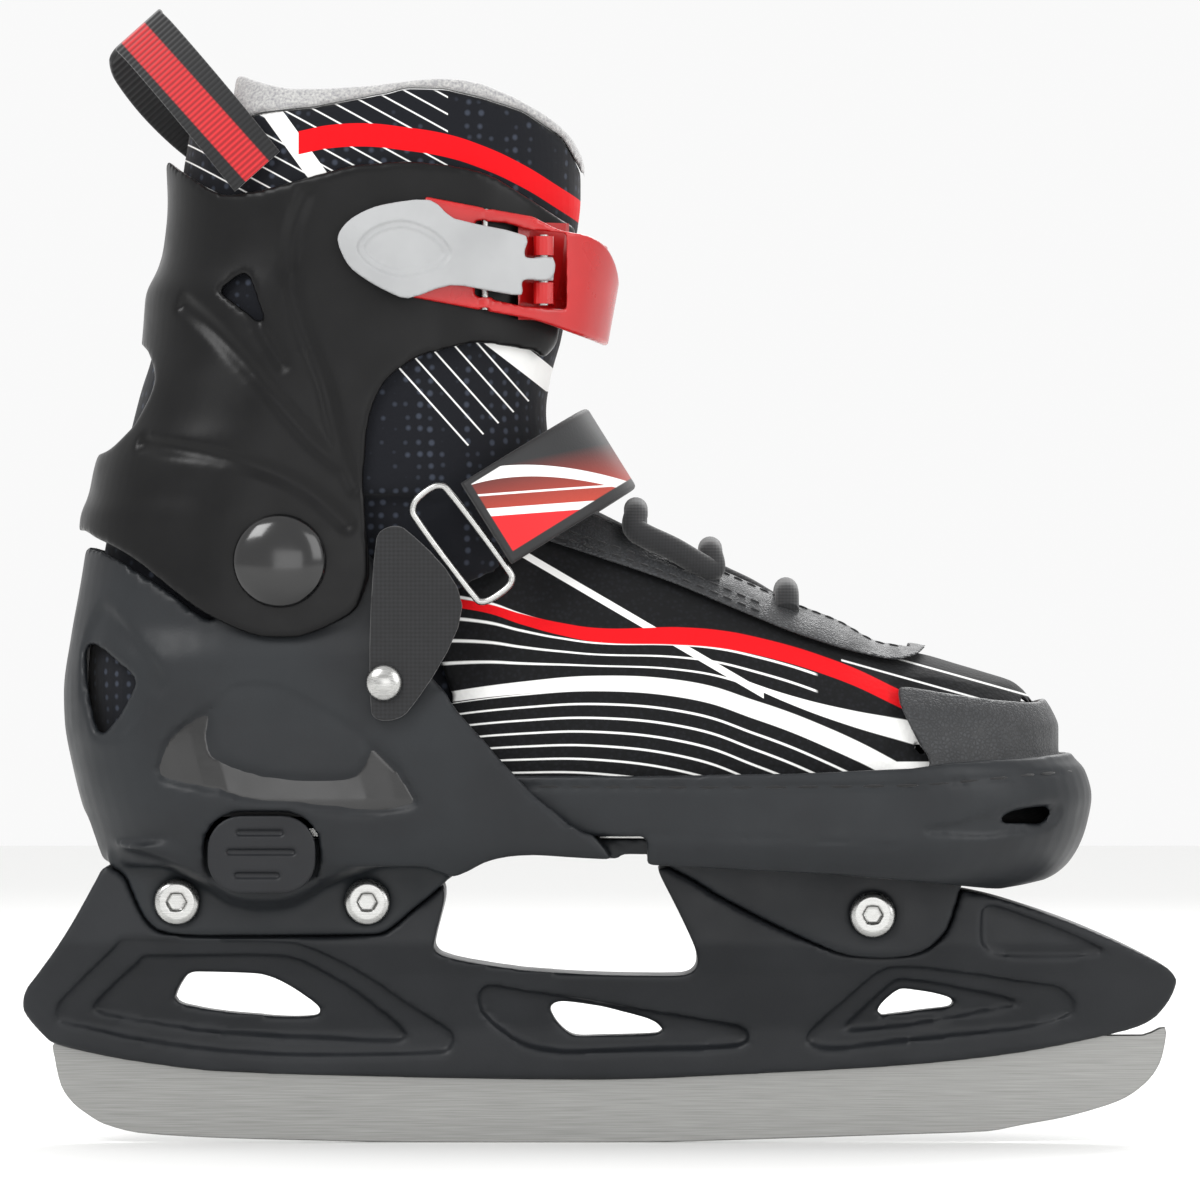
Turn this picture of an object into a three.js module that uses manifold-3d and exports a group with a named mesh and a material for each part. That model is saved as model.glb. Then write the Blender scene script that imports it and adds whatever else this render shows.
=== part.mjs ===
// Child's adjustable ice skate for the right foot: hinged cuff, sliding toe, lever buckle, hook-and-loop strap.
// Millimetres. +X points to the toe, +Z up, -Y is the outer (lateral) side.
// The origin lies on the flat of the blade, in the blade's middle plane.
import * as THREE from "three";
import { mergeVertices } from "three/addons/utils/BufferGeometryUtils.js";
import Module from "manifold-3d";

const wasm = await Module();
wasm.setup();

// ---- driving dimensions -------------------------------------------------------------------------
const LENGTH = 299; // blade holder, heel to toe
const HEIGHT = 256; // ice to the rear tip of the cuff
const BALL_HALF = 48; // half width of the toe shell at the ball of the foot
const HEEL_HALF = 37; // half width of the heel shell
const SHAFT_HALF = 38; // half width of the cuff at its pivots
const CLEAR = 0.4; // gap between neighbouring pieces
const SHELL_CLEAR = 0.8; // side gap between the sliding toe shell and the heel shell
const SLIDE_CLEAR = 3.6; // side gap between the sliding toe shell and the upper

const SHELL_WALL = 3;
const CUFF_WALL = 2.5;
const CAP_WALL = 2;
const UPPER_WALL = 2.4;
const LINER_WALL = 6;
const FLOOR_TOP = 79.6; // top of the heel shell's sole
const RACK_THICK = 2;
const FOOTBED_THICK = 3;

const BLADE_THICK = 3.5;
const RAIL_HALF = 7; // holder at the blade
const TOWER_HALF = 14; // holder between the shell's lugs
const LUG_WALL = 3.2;

const BOLT_HEAD_R = 5.9;
const BOLT_HEAD_H = 2.6;
const BOLT_SHANK_R = 3;
const BOLT_SEAT = 0.8; // depth of the head's recess in the lug
const SLEEVE_R = 4.4;
const SLEEVE_LENGTH = 14;
const HEX_R = 2.7;
const PEG_R = 2.2;

const PIVOT_CAP_R = 12;
const PIVOT_PIN_R = 4;
const RIVET_R = 4.6;
const RIVET_PIN_R = 2;

const FLEX = 5; // degrees the cuff can lean forward
const LEAN = 3; // degrees it can lean back
const BUTTON_TRAVEL = 3;
const BUTTON_STEM_R = 2.4;
const RACK_PITCH = 5;

const LACE_R = 3.2;
const WEB_WIDTH = 15.5;
const WEB_THICK = 1.6;
const STRAP_WIDTH = 24.5;
const STRAP_THICK = 2.6;
const RING_WIRE_R = 0.9;
const BAND_THICK = 2.4;
const LEVER_THICK = 3;
const HINGE_R = 2.6;
const PIN_R = 1.2;

// ---- helpers ------------------------------------------------------------------------------------
// Outlines are drawn for the size below and stretch with LENGTH and HEIGHT.
const DRAWN_LENGTH = 299;
const DRAWN_HEIGHT = 256;
const X = (x) => (x * LENGTH) / DRAWN_LENGTH;
const Z = (z) => (z * HEIGHT) / DRAWN_HEIGHT;
const points = (list) => list.map(([x, z]) => new THREE.Vector2(X(x), Z(z)));
const mirrored = (v) => new THREE.Vector3(v.x, -v.y, v.z);


// A value read off a list of [place, value] pairs.
function along(table, place) {
  const last = table.length - 1;
  if (place <= table[0][0]) return table[0][1];
  if (place >= table[last][0]) return table[last][1];
  const i = table.findIndex(([at]) => at > place);
  const [a, va] = table[i - 1];
  const [b, vb] = table[i];
  return va + ((vb - va) * (place - a)) / (b - a);
}

// The outline moved outwards by d, or inwards when d is negative.
function grow(outline, d) {
  const turn = Math.sign(THREE.ShapeUtils.area(outline));
  return outline.map((p, i) => {
    const before = outline[(i + outline.length - 1) % outline.length];
    const after = outline[(i + 1) % outline.length];
    const side = after.clone().sub(before).normalize();
    return new THREE.Vector2(p.x + turn * side.y * d, p.y - turn * side.x * d);
  });
}

const rounded = (cx, cz, w, h, r, n = 5) =>
  [[1, 1, 0], [-1, 1, 90], [-1, -1, 180], [1, -1, 270]].flatMap(([sx, sz, from]) =>
    Array.from({ length: n + 1 }, (_, i) => {
      const a = THREE.MathUtils.degToRad(from + (90 * i) / n);
      return new THREE.Vector2(cx + sx * (w / 2 - r) + r * Math.cos(a), cz + sz * (h / 2 - r) + r * Math.sin(a));
    }));

function solid(geometry) {
  const bare = new THREE.BufferGeometry().setAttribute("position", geometry.getAttribute("position").clone());
  if (geometry.index) bare.setIndex(geometry.index.clone());
  const g = mergeVertices(bare, 1e-4);
  const index = [];
  for (let i = 0; i < g.index.count; i += 3) {
    const [a, b, c] = g.index.array.slice(i, i + 3);
    if (a !== b && b !== c && c !== a) index.push(a, b, c);
  }
  const build = (triVerts) => new wasm.Manifold(new wasm.Mesh({
    numProp: 3, vertProperties: g.attributes.position.array, triVerts: new Uint32Array(triVerts) }));
  const body = build(index);
  return body.volume() > 0 ? body : build([...index].reverse());
}

// A side outline (x, z) given thickness from y0 to y1; with a slope it leans out along x from x0.
function plate(outline, y0, y1, slope = 0, x0 = 0) {
  const g = new THREE.ExtrudeGeometry(new THREE.Shape(outline), { depth: y1 - y0, bevelEnabled: false });
  g.applyMatrix4(new THREE.Matrix4().set(1, 0, 0, 0, slope, 0, 1, y0 - slope * x0, 0, 1, 0, 0, 0, 0, 0, 1));
  return solid(g);
}

// An upright round bar.
function post(x, y, r, z0, z1, sides = 16) {
  const g = new THREE.CylinderGeometry(r, r, z1 - z0, sides);
  g.rotateX(Math.PI / 2).translate(x, y, (z0 + z1) / 2);
  return solid(g);
}

// A closed skin over rings of points, with flat ends.
function loft(rings) {
  const n = rings[0].length;
  const flat = rings.flat().flatMap((p) => [p.x, p.y, p.z]);
  const index = [];
  for (let r = 0; r + 1 < rings.length; r++)
    for (let i = 0; i < n; i++) {
      const [a, b] = [r * n + i, r * n + ((i + 1) % n)];
      index.push(a, b, a + n, b, b + n, a + n);
    }
  for (let i = 1; i + 1 < n; i++) {
    const end = (rings.length - 1) * n;
    index.push(0, i + 1, i, end, end + i, end + i + 1);
  }
  const g = new THREE.BufferGeometry();
  g.setAttribute("position", new THREE.Float32BufferAttribute(flat, 3));
  g.setIndex(index);
  return solid(g);
}

// A round bar across the boot, along Y.
function bar(x, z, r, y0, y1, sides = 20) {
  const g = new THREE.CylinderGeometry(r, r, y1 - y0, sides);
  g.translate(x, (y0 + y1) / 2, z);
  return solid(g);
}

// A turned piece on an axis along Y: profile of [radius, y] from one end to the other.
function turned(x, z, profile, sides = 18) {
  const g = new THREE.LatheGeometry(profile.map(([r, y]) => new THREE.Vector2(r, y)), sides);
  g.translate(x, 0, z);
  return solid(g);
}

function box(x0, x1, y0, y1, z0, z1) {
  const g = new THREE.BoxGeometry(x1 - x0, y1 - y0, z1 - z0);
  g.translate((x0 + x1) / 2, (y0 + y1) / 2, (z0 + z1) / 2);
  return solid(g);
}

// A flat strap along a path; `across` is the direction of its width.
function strap(path, across, width, thick) {
  const side = across.clone().normalize().multiplyScalar(width / 2);
  return loft(path.map((p, i) => {
    const along = path[Math.min(i + 1, path.length - 1)].clone().sub(path[Math.max(i - 1, 0)]);
    const out = along.cross(across).normalize().multiplyScalar(thick / 2);
    return [[1, 1], [-1, 1], [-1, -1], [1, -1]].map(([s, o]) =>
      p.clone().addScaledVector(side, s).addScaledVector(out, o));
  }));
}

// A round wire or cord along a path.
function wire(path, r, sides = 8, steps = path.length * 3, closed = false) {
  const ring = Array.from({ length: sides }, (_, i) =>
    new THREE.Vector2(r * Math.cos((2 * Math.PI * i) / sides), r * Math.sin((2 * Math.PI * i) / sides)));
  const curve = new THREE.CatmullRomCurve3(path, closed, "centripetal");
  return solid(new THREE.ExtrudeGeometry(new THREE.Shape(ring), { extrudePath: curve, steps, bevelEnabled: false }));
}

const FAR = 400; // longer than anything that is cut with it
// The largest connected body, without the slivers that a cut can leave.
const biggest = (body) => body.decompose().sort((a, b) => b.volume() - a.volume())[0];
const across = (outline) => plate(outline, -FAR, FAR);
const lateral = box(-FAR, FAR, -FAR, 0, -FAR, FAR);
const medial = box(-FAR, FAR, 0, FAR, -FAR, FAR);

// ---- materials ----------------------------------------------------------------------------------
const finish = (color, roughness, metalness = 0) => () =>
  new THREE.MeshStandardMaterial({ color, roughness, metalness });
const shellPlastic = finish(0x2c2e31, 0.5);
const cuffPlastic = finish(0x1f2022, 0.42);
const holderPlastic = finish(0x303236, 0.5);
const steel = finish(0x9a9a9a, 0.3, 1);
const bladeSteel = finish(0x949494, 0.38, 1);
const glossBlack = finish(0x0d0d0e, 0.15);
const fabric = finish(0x16171c, 0.9);
const fleece = finish(0xa5a5a5, 0.95);
const leather = finish(0x3c3e42, 0.7);
const webbing = finish(0xc82020, 0.85);
const redPlastic = finish(0xc01010, 0.35);
const leverPlastic = finish(0xbebebe, 0.4);
const buttonPlastic = finish(0x5a5c60, 0.5);

// ---- the assembly -------------------------------------------------------------------------------
const skate = new THREE.Group();

function piece(name, body, material) {
  const m = body.getMesh();
  const g = new THREE.BufferGeometry();
  const v = new Float32Array(m.numVert * 3);
  for (let i = 0; i < m.numVert; i++) v.set(m.vertProperties.subarray(i * m.numProp, i * m.numProp + 3), i * 3);
  g.setAttribute("position", new THREE.BufferAttribute(v, 3));
  g.setIndex(new THREE.BufferAttribute(new Uint32Array(m.triVerts), 1));
  const mesh = new THREE.Mesh(g, material());
  mesh.name = name;
  skate.add(mesh);
}

// ---- blade, holder and bolts --------------------------------------------------------------------
const BOLTS = { rear: [-109.3, 63], mid: [-60.1, 63], front: [70.4, 59.7] };

const bladeLine = points([
  [-141.7, 26], [-141.7, 22], [-140, 14.7], [-137, 10.3], [-133.3, 7.4], [-128.9, 4.8], [-120, 2.5], [-100, 1.2],
  [-70, 0.4], [-50, 0], [10, 0], [50, 1.1], [80, 2.1], [100.8, 2.9], [110, 4.6], [120, 6.4], [130, 9.1],
  [136.5, 11.6], [141.5, 15.2], [144.7, 19.1], [146.4, 23.7], [146.8, 30], [141, 28], [110, 28], [60, 24],
  [0, 22], [-60, 22.5], [-110, 25], [-130, 28]]);
const holderLine = points([
  [-127.6, 72.2], [-135, 59.9], [-146.4, 43.1], [-149.9, 35.6], [-145, 28.8], [-140, 25], [-120, 21.2],
  [-100, 18.7], [-60, 17.3], [0, 16.4], [40, 18], [80, 20.3], [110, 23.7], [135.7, 29.1], [146.1, 34.6],
  [149.3, 41.9], [145, 46.9], [134.3, 52.3], [120, 58.3], [104.3, 63.5], [96, 65.5], [80, 68.2], [60, 69.6],
  [16, 72], [15, 71], [20, 61], [24.3, 51.7], [24.3, 45], [21, 43.8], [0, 44], [-20, 45.3], [-40, 48.8],
  [-42.9, 51.7], [-41.2, 61.6], [-40, 66.5], [-46, 70.5], [-100, 71.5]]);
const holderHoles = [
  [[-110.3, 37.3], [-107, 43.9], [-88.8, 44.1], [-80, 40.6], [-72.7, 35.1], [-74, 32.5], [-90, 33.5], [-105.5, 35.2]],
  [[-13.1, 35.1], [-9.6, 36.9], [0, 35.6], [13, 32.1], [16.3, 29.8], [14.5, 28.2], [-6.9, 28.1], [-10.9, 31.1]],
  [[71.9, 34.4], [77.3, 39.9], [87.9, 38.7], [93.5, 36.6], [92.6, 35.6], [84.4, 34.6], [77.3, 33.7]]].map(points);
const rearLug = points([
  [-126.7, 76], [-126.7, 72.6], [-123, 70], [-118.7, 60.6], [-115.8, 56.6], [-112, 54.9], [-57.4, 54.6],
  [-53.7, 56.3], [-45, 63.6], [-38.5, 69.4], [-34, 76]]);
const frontLug = points([
  [15, 76.4], [17.6, 72.3], [30, 65], [50, 54.7], [60, 50.4], [71.6, 48.3], [83, 50], [90, 56.5], [93, 65.8],
  [94, 76.4]]);
const lugs = [rearLug, frontLug];
const LUG_HALF = TOWER_HALF + CLEAR + LUG_WALL;

// Half width of the holder at each height: narrow rail, flush with the lugs above.
const holderWidth = [[14, RAIL_HALF - 1], [20, RAIL_HALF], [30, RAIL_HALF + 1], [44, 13], [52, LUG_HALF], [80, LUG_HALF]];
const holderFront = loft([-FAR, FAR].map((x) => [
  ...holderWidth.map(([z, y]) => new THREE.Vector3(x, y, Z(z))),
  ...holderWidth.map(([z, y]) => new THREE.Vector3(x, -y, Z(z))).reverse()]));
const bladeSlot = plate(grow(bladeLine, CLEAR), -BLADE_THICK / 2 - CLEAR, BLADE_THICK / 2 + CLEAR);
const pegs = [[-130, 24.5], [-50, 20], [50, 21], [125, 27.5]].map(([x, z]) => [X(x), Z(z)]);

let holder = across(holderLine).intersect(holderFront);
for (const hole of holderHoles) holder = holder.subtract(across(hole));
for (const lug of lugs)
  for (const side of [-1, 1]) {
    const y = [side * TOWER_HALF, side * FAR].sort((a, b) => a - b);
    holder = holder.subtract(plate(grow(lug, CLEAR), ...y));
  }
holder = holder.subtract(bladeSlot);
for (const [x, z] of pegs) holder = holder.add(bar(x, z, PEG_R, -BLADE_THICK, BLADE_THICK, 12));
for (const [x, z] of Object.values(BOLTS))
  holder = holder.subtract(bar(X(x), Z(z), SLEEVE_R + CLEAR, -FAR, FAR));
piece("blade_holder", holder, holderPlastic);

let blade = plate(bladeLine, -BLADE_THICK / 2, BLADE_THICK / 2);
for (const [x, z] of pegs) blade = blade.subtract(bar(x, z, PEG_R + CLEAR, -FAR, FAR, 12));
piece("blade", blade, bladeSteel);

for (const [name, [bx, bz]] of Object.entries(BOLTS)) {
  const [x, z] = [X(bx), Z(bz)];
  const seat = LUG_HALF - BOLT_SEAT + CLEAR;
  const end = seat - SLEEVE_LENGTH - CLEAR + 4;
  const bolt = turned(x, z, [[0, -seat - BOLT_HEAD_H], [BOLT_HEAD_R - 0.8, -seat - BOLT_HEAD_H],
    [BOLT_HEAD_R, -seat - BOLT_HEAD_H + 0.8], [BOLT_HEAD_R, -seat], [BOLT_SHANK_R, -seat], [BOLT_SHANK_R, end], [0, end]]);
  const socket = new THREE.CylinderGeometry(HEX_R, HEX_R, 2 * (BOLT_HEAD_H - 0.6), 6).translate(x, -seat - BOLT_HEAD_H, z);
  piece(`bolt_${name}`, bolt.subtract(solid(socket)), steel);
  const bore = BOLT_SHANK_R + CLEAR;
  piece(`sleeve_nut_${name}`, turned(x, z, [[0, end + CLEAR], [bore, end + CLEAR],
    [bore, seat - SLEEVE_LENGTH], [SLEEVE_R, seat - SLEEVE_LENGTH], [SLEEVE_R, seat], [BOLT_HEAD_R, seat],
    [BOLT_HEAD_R, seat + BOLT_HEAD_H - 0.8], [BOLT_HEAD_R - 0.8, seat + BOLT_HEAD_H], [0, seat + BOLT_HEAD_H]]), steel);
}

// ---- the boot's plan form -----------------------------------------------------------------------
const REAR = [[48, -110], [66, -122], [70, -128], [85, -133.7], [97, -136.9], [110, -139.2], [117, -139.4],
  [131, -137.6], [145, -135.1], [155, -133.5], [170, -131]];
const FRONT = [[66, 104], [68.2, 115], [70, 118.6], [73.4, 122.2], [78, 124.9], [83, 126.6], [90, 127.8], [97, 126],
  [101.4, 122.5], [108, 122.5], [112, 121], [116, 118.4], [119, 115.5], [128, 96]];
const HEEL = [[66, -9], [71, -5], [78, -2], [90, 0], [125, 0], [135, -2.5], [170, -2.5]];
const BALL = [[66, -10], [69, -6], [74, -2], [80, 0], [97, 0], [105, -1.5], [112, -4], [119, -10]];
const SHELL_OFFSET = SHELL_CLEAR + SHELL_WALL; // the heel shell's outside, measured from the toe shell's outside
const HEEL_ROUND = 42; // length of the rounding at each end
const TOE_ROUND = 58;
const SHAFT_ROUND = 44;
const ROUND_POWER = 2.2; // 2 is an ellipse

// How much of the full width is left at distance d from an end that is rounded over length r.
const rounding = (d, r) => (d >= r ? 1 : (1 - ((r - Math.max(d, 0)) / r) ** ROUND_POWER) ** (1 / ROUND_POWER));
const bootRear = (z, g) => X(along(REAR, z / Z(1))) + SHELL_OFFSET - g;
const bootFront = (z, g) => X(along(FRONT, z / Z(1))) + g;

// Half width at x of a slice at height z, g outside the toe shell's surface.
function bootHalf(x, z, g) {
  const [rear, front] = [bootRear(z, g), bootFront(z, g)];
  const blend = THREE.MathUtils.smoothstep((x - rear) / (front - rear), 0.25, 0.72);
  const heel = HEEL_HALF - SHELL_OFFSET + along(HEEL, z / Z(1));
  const ball = BALL_HALF + along(BALL, z / Z(1));
  return (THREE.MathUtils.lerp(heel, ball, blend) + g) * rounding(x - rear, HEEL_ROUND) * rounding(front - x, TOE_ROUND);
}

function ring(z, rear, front, half, count = 16) {
  const side = [];
  for (let i = 0; i <= count; i++) {
    const x = (rear + front) / 2 - ((front - rear) / 2) * Math.cos((Math.PI * i) / count);
    side.push(new THREE.Vector3(x, Math.max(half(x), 0.02), z));
  }
  return [...side, ...side.map(mirrored).reverse()];
}
const bootSlice = (z, g) => ring(z, bootRear(z, g), bootFront(z, g), (x) => bootHalf(x, z, g));
const bootSolid = (heights, g) => loft(heights.map((z) => bootSlice(z, g)));

// ---- heel shell ---------------------------------------------------------------------------------
const heelShellLine = points([
  [-127.1, 72.9], [-133.7, 85.6], [-142, 110], [-141, 131], [-135.5, 153], [-133.4, 154.8], [-131.3, 154.6],
  [-120.2, 149], [-109.7, 142.4], [-98.6, 135.1], [-97.5, 151], [-93, 161], [-82, 166], [-71, 161], [-66, 150],
  [-63.7, 134.7], [-53, 141.2], [-49.8, 133.3], [-42.8, 120.8], [-37.3, 113.5], [-28.3, 103.4], [-18.7, 92.9],
  [-9.3, 85], [-1.8, 81.1], [3, 75], [4.4, 74.5], [-16.8, 75.6], [-30, 73.5], [-37.7, 69.7], [-45, 72.4], [-120, 72.4]]);
const shellWindow = points([
  [-131.3, 129.9], [-119.6, 121], [-119.6, 118.7], [-122.9, 112.4], [-128.9, 106.2], [-131.3, 114.5], [-132.3, 121.5]]);
const PIVOT = [X(-82), Z(151)];
const RIVET = [X(-55.3), Z(119.8)]; // lateral, holds the keeper strap
const ANCHOR = [X(-56), Z(136.5)]; // medial, holds the instep strap
const BUTTON = { x: X(-86.8), z: Z(75.7), width: 27.7, height: 19.9, corner: 8.5 };
const buttonLine = rounded(BUTTON.x, BUTTON.z, BUTTON.width, BUTTON.height, BUTTON.corner);

const outerHeights = [66, 71, 78, 90, 110, 125, 135, 150, 170].map(Z);
const innerHeights = [FLOOR_TOP, ...[90, 110, 125, 135, 150, 171].map(Z)];
let heelShell = bootSolid(outerHeights, SHELL_OFFSET).intersect(across(heelShellLine))
  .subtract(bootSolid(innerHeights, SHELL_CLEAR));
const solePlate = bootSolid([Z(74.5) + CLEAR + 0.8, FLOOR_TOP], -SHELL_WALL - SLIDE_CLEAR - CLEAR)
  .intersect(box(X(-60), X(96), -FAR, FAR, -FAR, FAR));
// The bulge that carries the size button, above the lugs.
const bulge = loft([[60, -98, -76, LUG_HALF - 0.3], [66, -103, -70, 30], [78, -128, -36, 32.5]].map(([z, rear, front, half]) =>
  ring(Z(z), X(rear), X(front), (x) => half * rounding(x - X(rear), 12) * rounding(X(front) - x, 12), 12)));
heelShell = heelShell.add(solePlate).add(bulge);
for (const lug of lugs)
  for (const side of [-1, 1]) {
    const y = [side * (TOWER_HALF + CLEAR), side * LUG_HALF].sort((a, b) => a - b);
    heelShell = heelShell.add(plate(lug, ...y));
  }
heelShell = heelShell.subtract(box(-FAR, X(-30), -TOWER_HALF - CLEAR, TOWER_HALF + CLEAR, -FAR, Z(72.2) + CLEAR));
heelShell = heelShell.subtract(plate(shellWindow, -FAR, 0)).subtract(plate(shellWindow, 0, FAR));
for (const [x, z] of Object.values(BOLTS)) {
  heelShell = heelShell.subtract(bar(X(x), Z(z), SLEEVE_R + CLEAR, -FAR, FAR));
  for (const side of [-1, 1]) {
    const y = [side * (LUG_HALF - BOLT_SEAT), side * FAR].sort((a, b) => a - b);
    heelShell = heelShell.subtract(bar(X(x), Z(z), BOLT_HEAD_R + 1.2, ...y));
  }
}
for (const side of [-1, 1]) {
  const y = [0, side * FAR].sort((a, b) => a - b);
  heelShell = heelShell.subtract(bar(...PIVOT, PIVOT_PIN_R + CLEAR, ...y));
  heelShell = heelShell.subtract(bar(...(side < 0 ? RIVET : ANCHOR), RIVET_PIN_R + CLEAR, ...y, 12));
}
// the size button's pocket, the bore of its stem and the slot of its pawl
const POCKET_Y = -29;
const STEM_END = -8;
const SPRING_SEAT = POCKET_Y + 8;
const buttonPocket = plate(grow(buttonLine, CLEAR), -FAR, POCKET_Y);
const stemBore = bar(BUTTON.x, BUTTON.z, BUTTON_STEM_R + CLEAR, -FAR, STEM_END + BUTTON_TRAVEL + CLEAR);
const PAWL_X = 3; // half length of the pawl
const PAWL_Y = -11;
const pawlSlot = box(BUTTON.x - PAWL_X - CLEAR, BUTTON.x + PAWL_X + CLEAR, PAWL_Y - CLEAR,
  STEM_END + BUTTON_TRAVEL + CLEAR, BUTTON.z, FAR);
const springBore = bar(BUTTON.x, BUTTON.z, BUTTON_STEM_R + 2 + CLEAR, -FAR, SPRING_SEAT);
heelShell = heelShell.subtract(buttonPocket).subtract(stemBore).subtract(springBore);
heelShell = heelShell.subtract(pawlSlot.intersect(box(-FAR, FAR, -FAR, FAR, -FAR, FLOOR_TOP + 2)));
piece("heel_shell", heelShell, shellPlastic);

// ---- size button, spring and rack ---------------------------------------------------------------
const shellSide = -bootHalf(BUTTON.x, BUTTON.z, SHELL_OFFSET);
const capInner = POCKET_Y - BUTTON_TRAVEL - CLEAR;
let button = plate(buttonLine, shellSide - 1.6, capInner)
  .add(bar(BUTTON.x, BUTTON.z, BUTTON_STEM_R, capInner - 1, STEM_END, 16))
  .add(box(BUTTON.x - PAWL_X, BUTTON.x + PAWL_X, PAWL_Y, STEM_END, BUTTON.z, FLOOR_TOP + CLEAR + RACK_THICK));
for (const dz of [5.2, 0, -5.2])
  button = button.subtract(box(BUTTON.x - 8, BUTTON.x + 6, shellSide - 2, shellSide - 0.6, BUTTON.z + dz - 0.7, BUTTON.z + dz + 0.7));
piece("size_button", button, buttonPlastic);
piece("button_spring", bar(BUTTON.x, BUTTON.z, BUTTON_STEM_R + 2, capInner + 0.3, SPRING_SEAT - BUTTON_TRAVEL - 0.3, 20)
  .subtract(bar(BUTTON.x, BUTTON.z, BUTTON_STEM_R + CLEAR, -FAR, FAR, 20)), steel);

const rackZ = [FLOOR_TOP + CLEAR, FLOOR_TOP + CLEAR + RACK_THICK];
const RACK_EDGE = PAWL_Y - CLEAR; // the teeth's tips pass just beside the pawl
let rack = box(X(-98), X(12), RACK_EDGE - 9, RACK_EDGE - 1.8, ...rackZ);
for (let x = X(-96); x < X(-60); x += RACK_PITCH) rack = rack.add(box(x, x + RACK_PITCH / 2, RACK_EDGE - 3, RACK_EDGE, ...rackZ));
const crossBar = bootSolid(rackZ, -SHELL_WALL - 0.25).intersect(box(X(0), X(12), -FAR, FAR, -FAR, FAR));
piece("size_rack", rack.add(crossBar), steel);

// ---- toe shell and toe cap ----------------------------------------------------------------------
const toeShellLine = points([
  [-44, 84], [-44, 95.8], [10, 96], [50, 96.7], [80, 98], [90, 99.4], [121.3, 101.4], [124, 100.9], [140, 99],
  [140, 60], [12, 60], [12, 80.4], [-40, 80.4]]);
const toeHeights = [66, 68.2, 70, 73.4, 78, 83, 90, 97, 101.4].map(Z);
const toeInner = [Z(74.5), ...[78, 83, 90, 97, 101.5].map(Z)];
const toeBottom = points([[12, 40], [12, 73.2], [60, 70.8], [90, 67.9], [104, 66], [150, 66], [150, 120], [-60, 120], [-60, 40]]);
let toeShell = bootSolid(toeHeights, 0).intersect(across(toeShellLine)).intersect(across(toeBottom))
  .subtract(bootSolid(toeInner, -SHELL_WALL + 0.05));
toeShell = toeShell.subtract(plate(points([[-60, 40], [-60, 76.4], [96, 76.4], [96, 40]]), -LUG_HALF - CLEAR, LUG_HALF + CLEAR));
const ventSlot = points([[101.7, 84.4], [109.3, 87.5], [115.4, 87.9], [113.6, 83.9], [102.9, 83.7]]);
toeShell = toeShell.subtract(across(ventSlot));
piece("toe_shell", biggest(toeShell), shellPlastic);

const CAP_OFFSET = -SHELL_WALL - 0.3;
const toeCapLine = points([
  [74, 88], [84.5, 98.7], [81.8, 103.9], [77.8, 111.9], [76.3, 116.4], [76.9, 118.4], [90, 116.9], [110, 114.8],
  [117, 116], [140, 108], [140, 88]]);
const capHeights = [88, 90, 97, 101.4, 108, 112, 116, 119].map(Z);
piece("toe_cap", bootSolid(capHeights, CAP_OFFSET).subtract(bootSolid([87, 90, 97, 101.4, 108, 112, 116, 119.5].map(Z),
  CAP_OFFSET - CAP_WALL)).intersect(across(toeCapLine)), leather);

// ---- upper, eyestays, tongue and lace -----------------------------------------------------------
const TOP = [[-60, 182], [-40, 176], [-10, 167.5], [13.3, 156.6], [35, 146.4], [51.8, 138.6], [62, 134.4], [72, 128.4],
  [83.6, 127], [92.6, 124.4], [100, 122.2], [108, 119.5], [113, 115.5], [116, 110], [118, 103]];
const UPPER_OFFSET = -SHELL_WALL - SLIDE_CLEAR - CLEAR; // clears the toe cap too
const upperTop = (x) => Z(along(TOP, x / X(1)));
const ARCH_SIDES = 16;
const WAIST = 97; // height where the upper is widest

// An arched slice across the boot at x, g outside the upper's surface.
function arch(x, g, floor) {
  const [mid, half, top] = [Z(WAIST), Math.max(bootHalf(x, Z(90), UPPER_OFFSET) + g, 0.5), upperTop(x) + g];
  return Array.from({ length: ARCH_SIDES }, (_, i) => {
    const a = (2 * Math.PI * i) / ARCH_SIDES;
    const [c, s] = [Math.cos(a), Math.sin(a)];
    const power = s >= 0 ? 2 / 2.2 : 2 / 4;
    const rise = s >= 0 ? top - mid : mid - floor;
    return new THREE.Vector3(x, half * Math.sign(c) * Math.abs(c) ** power, mid + rise * Math.sign(s) * Math.abs(s) ** power);
  });
}
const archPlaces = [-50, -30, -10, 13.3, 35, 51.8, 62, 72, 83.6, 92.6, 100, 108, 113, 116, 118].map(X);
const archSolid = (g, floor, places = archPlaces) => loft(places.map((x) => arch(x, g, floor)));
const UPPER_FLOOR = rackZ[1] + CLEAR;
const THROAT_HALF = 12;
const innerPlaces = [-52, -30, -10, 13.3, 35, 51.8, 62, 72, 83.6, 92.6, 100, 108, 112].map(X);
const throat = box(X(-60), X(80), -THROAT_HALF, THROAT_HALF, Z(110), FAR);
const upperLine = points([[-46, 78], [-38, 116], [-46.5, 141], [-42, 150], [-9, 185], [30, 160], [130, 135], [130, 78]]);
const spaceHeights = [66, 78, 90, 97, 101.4, 105, 108, 112, 116, 119, 128, 220].map(Z);
const insideToe = (g) => bootSolid(spaceHeights, g).add(box(-FAR, X(74), -FAR, FAR, -FAR, FAR));
const upper = archSolid(0, UPPER_FLOOR).subtract(archSolid(-UPPER_WALL, UPPER_FLOOR + UPPER_WALL, innerPlaces))
  .intersect(across(upperLine)).intersect(insideToe(UPPER_OFFSET));

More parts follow.
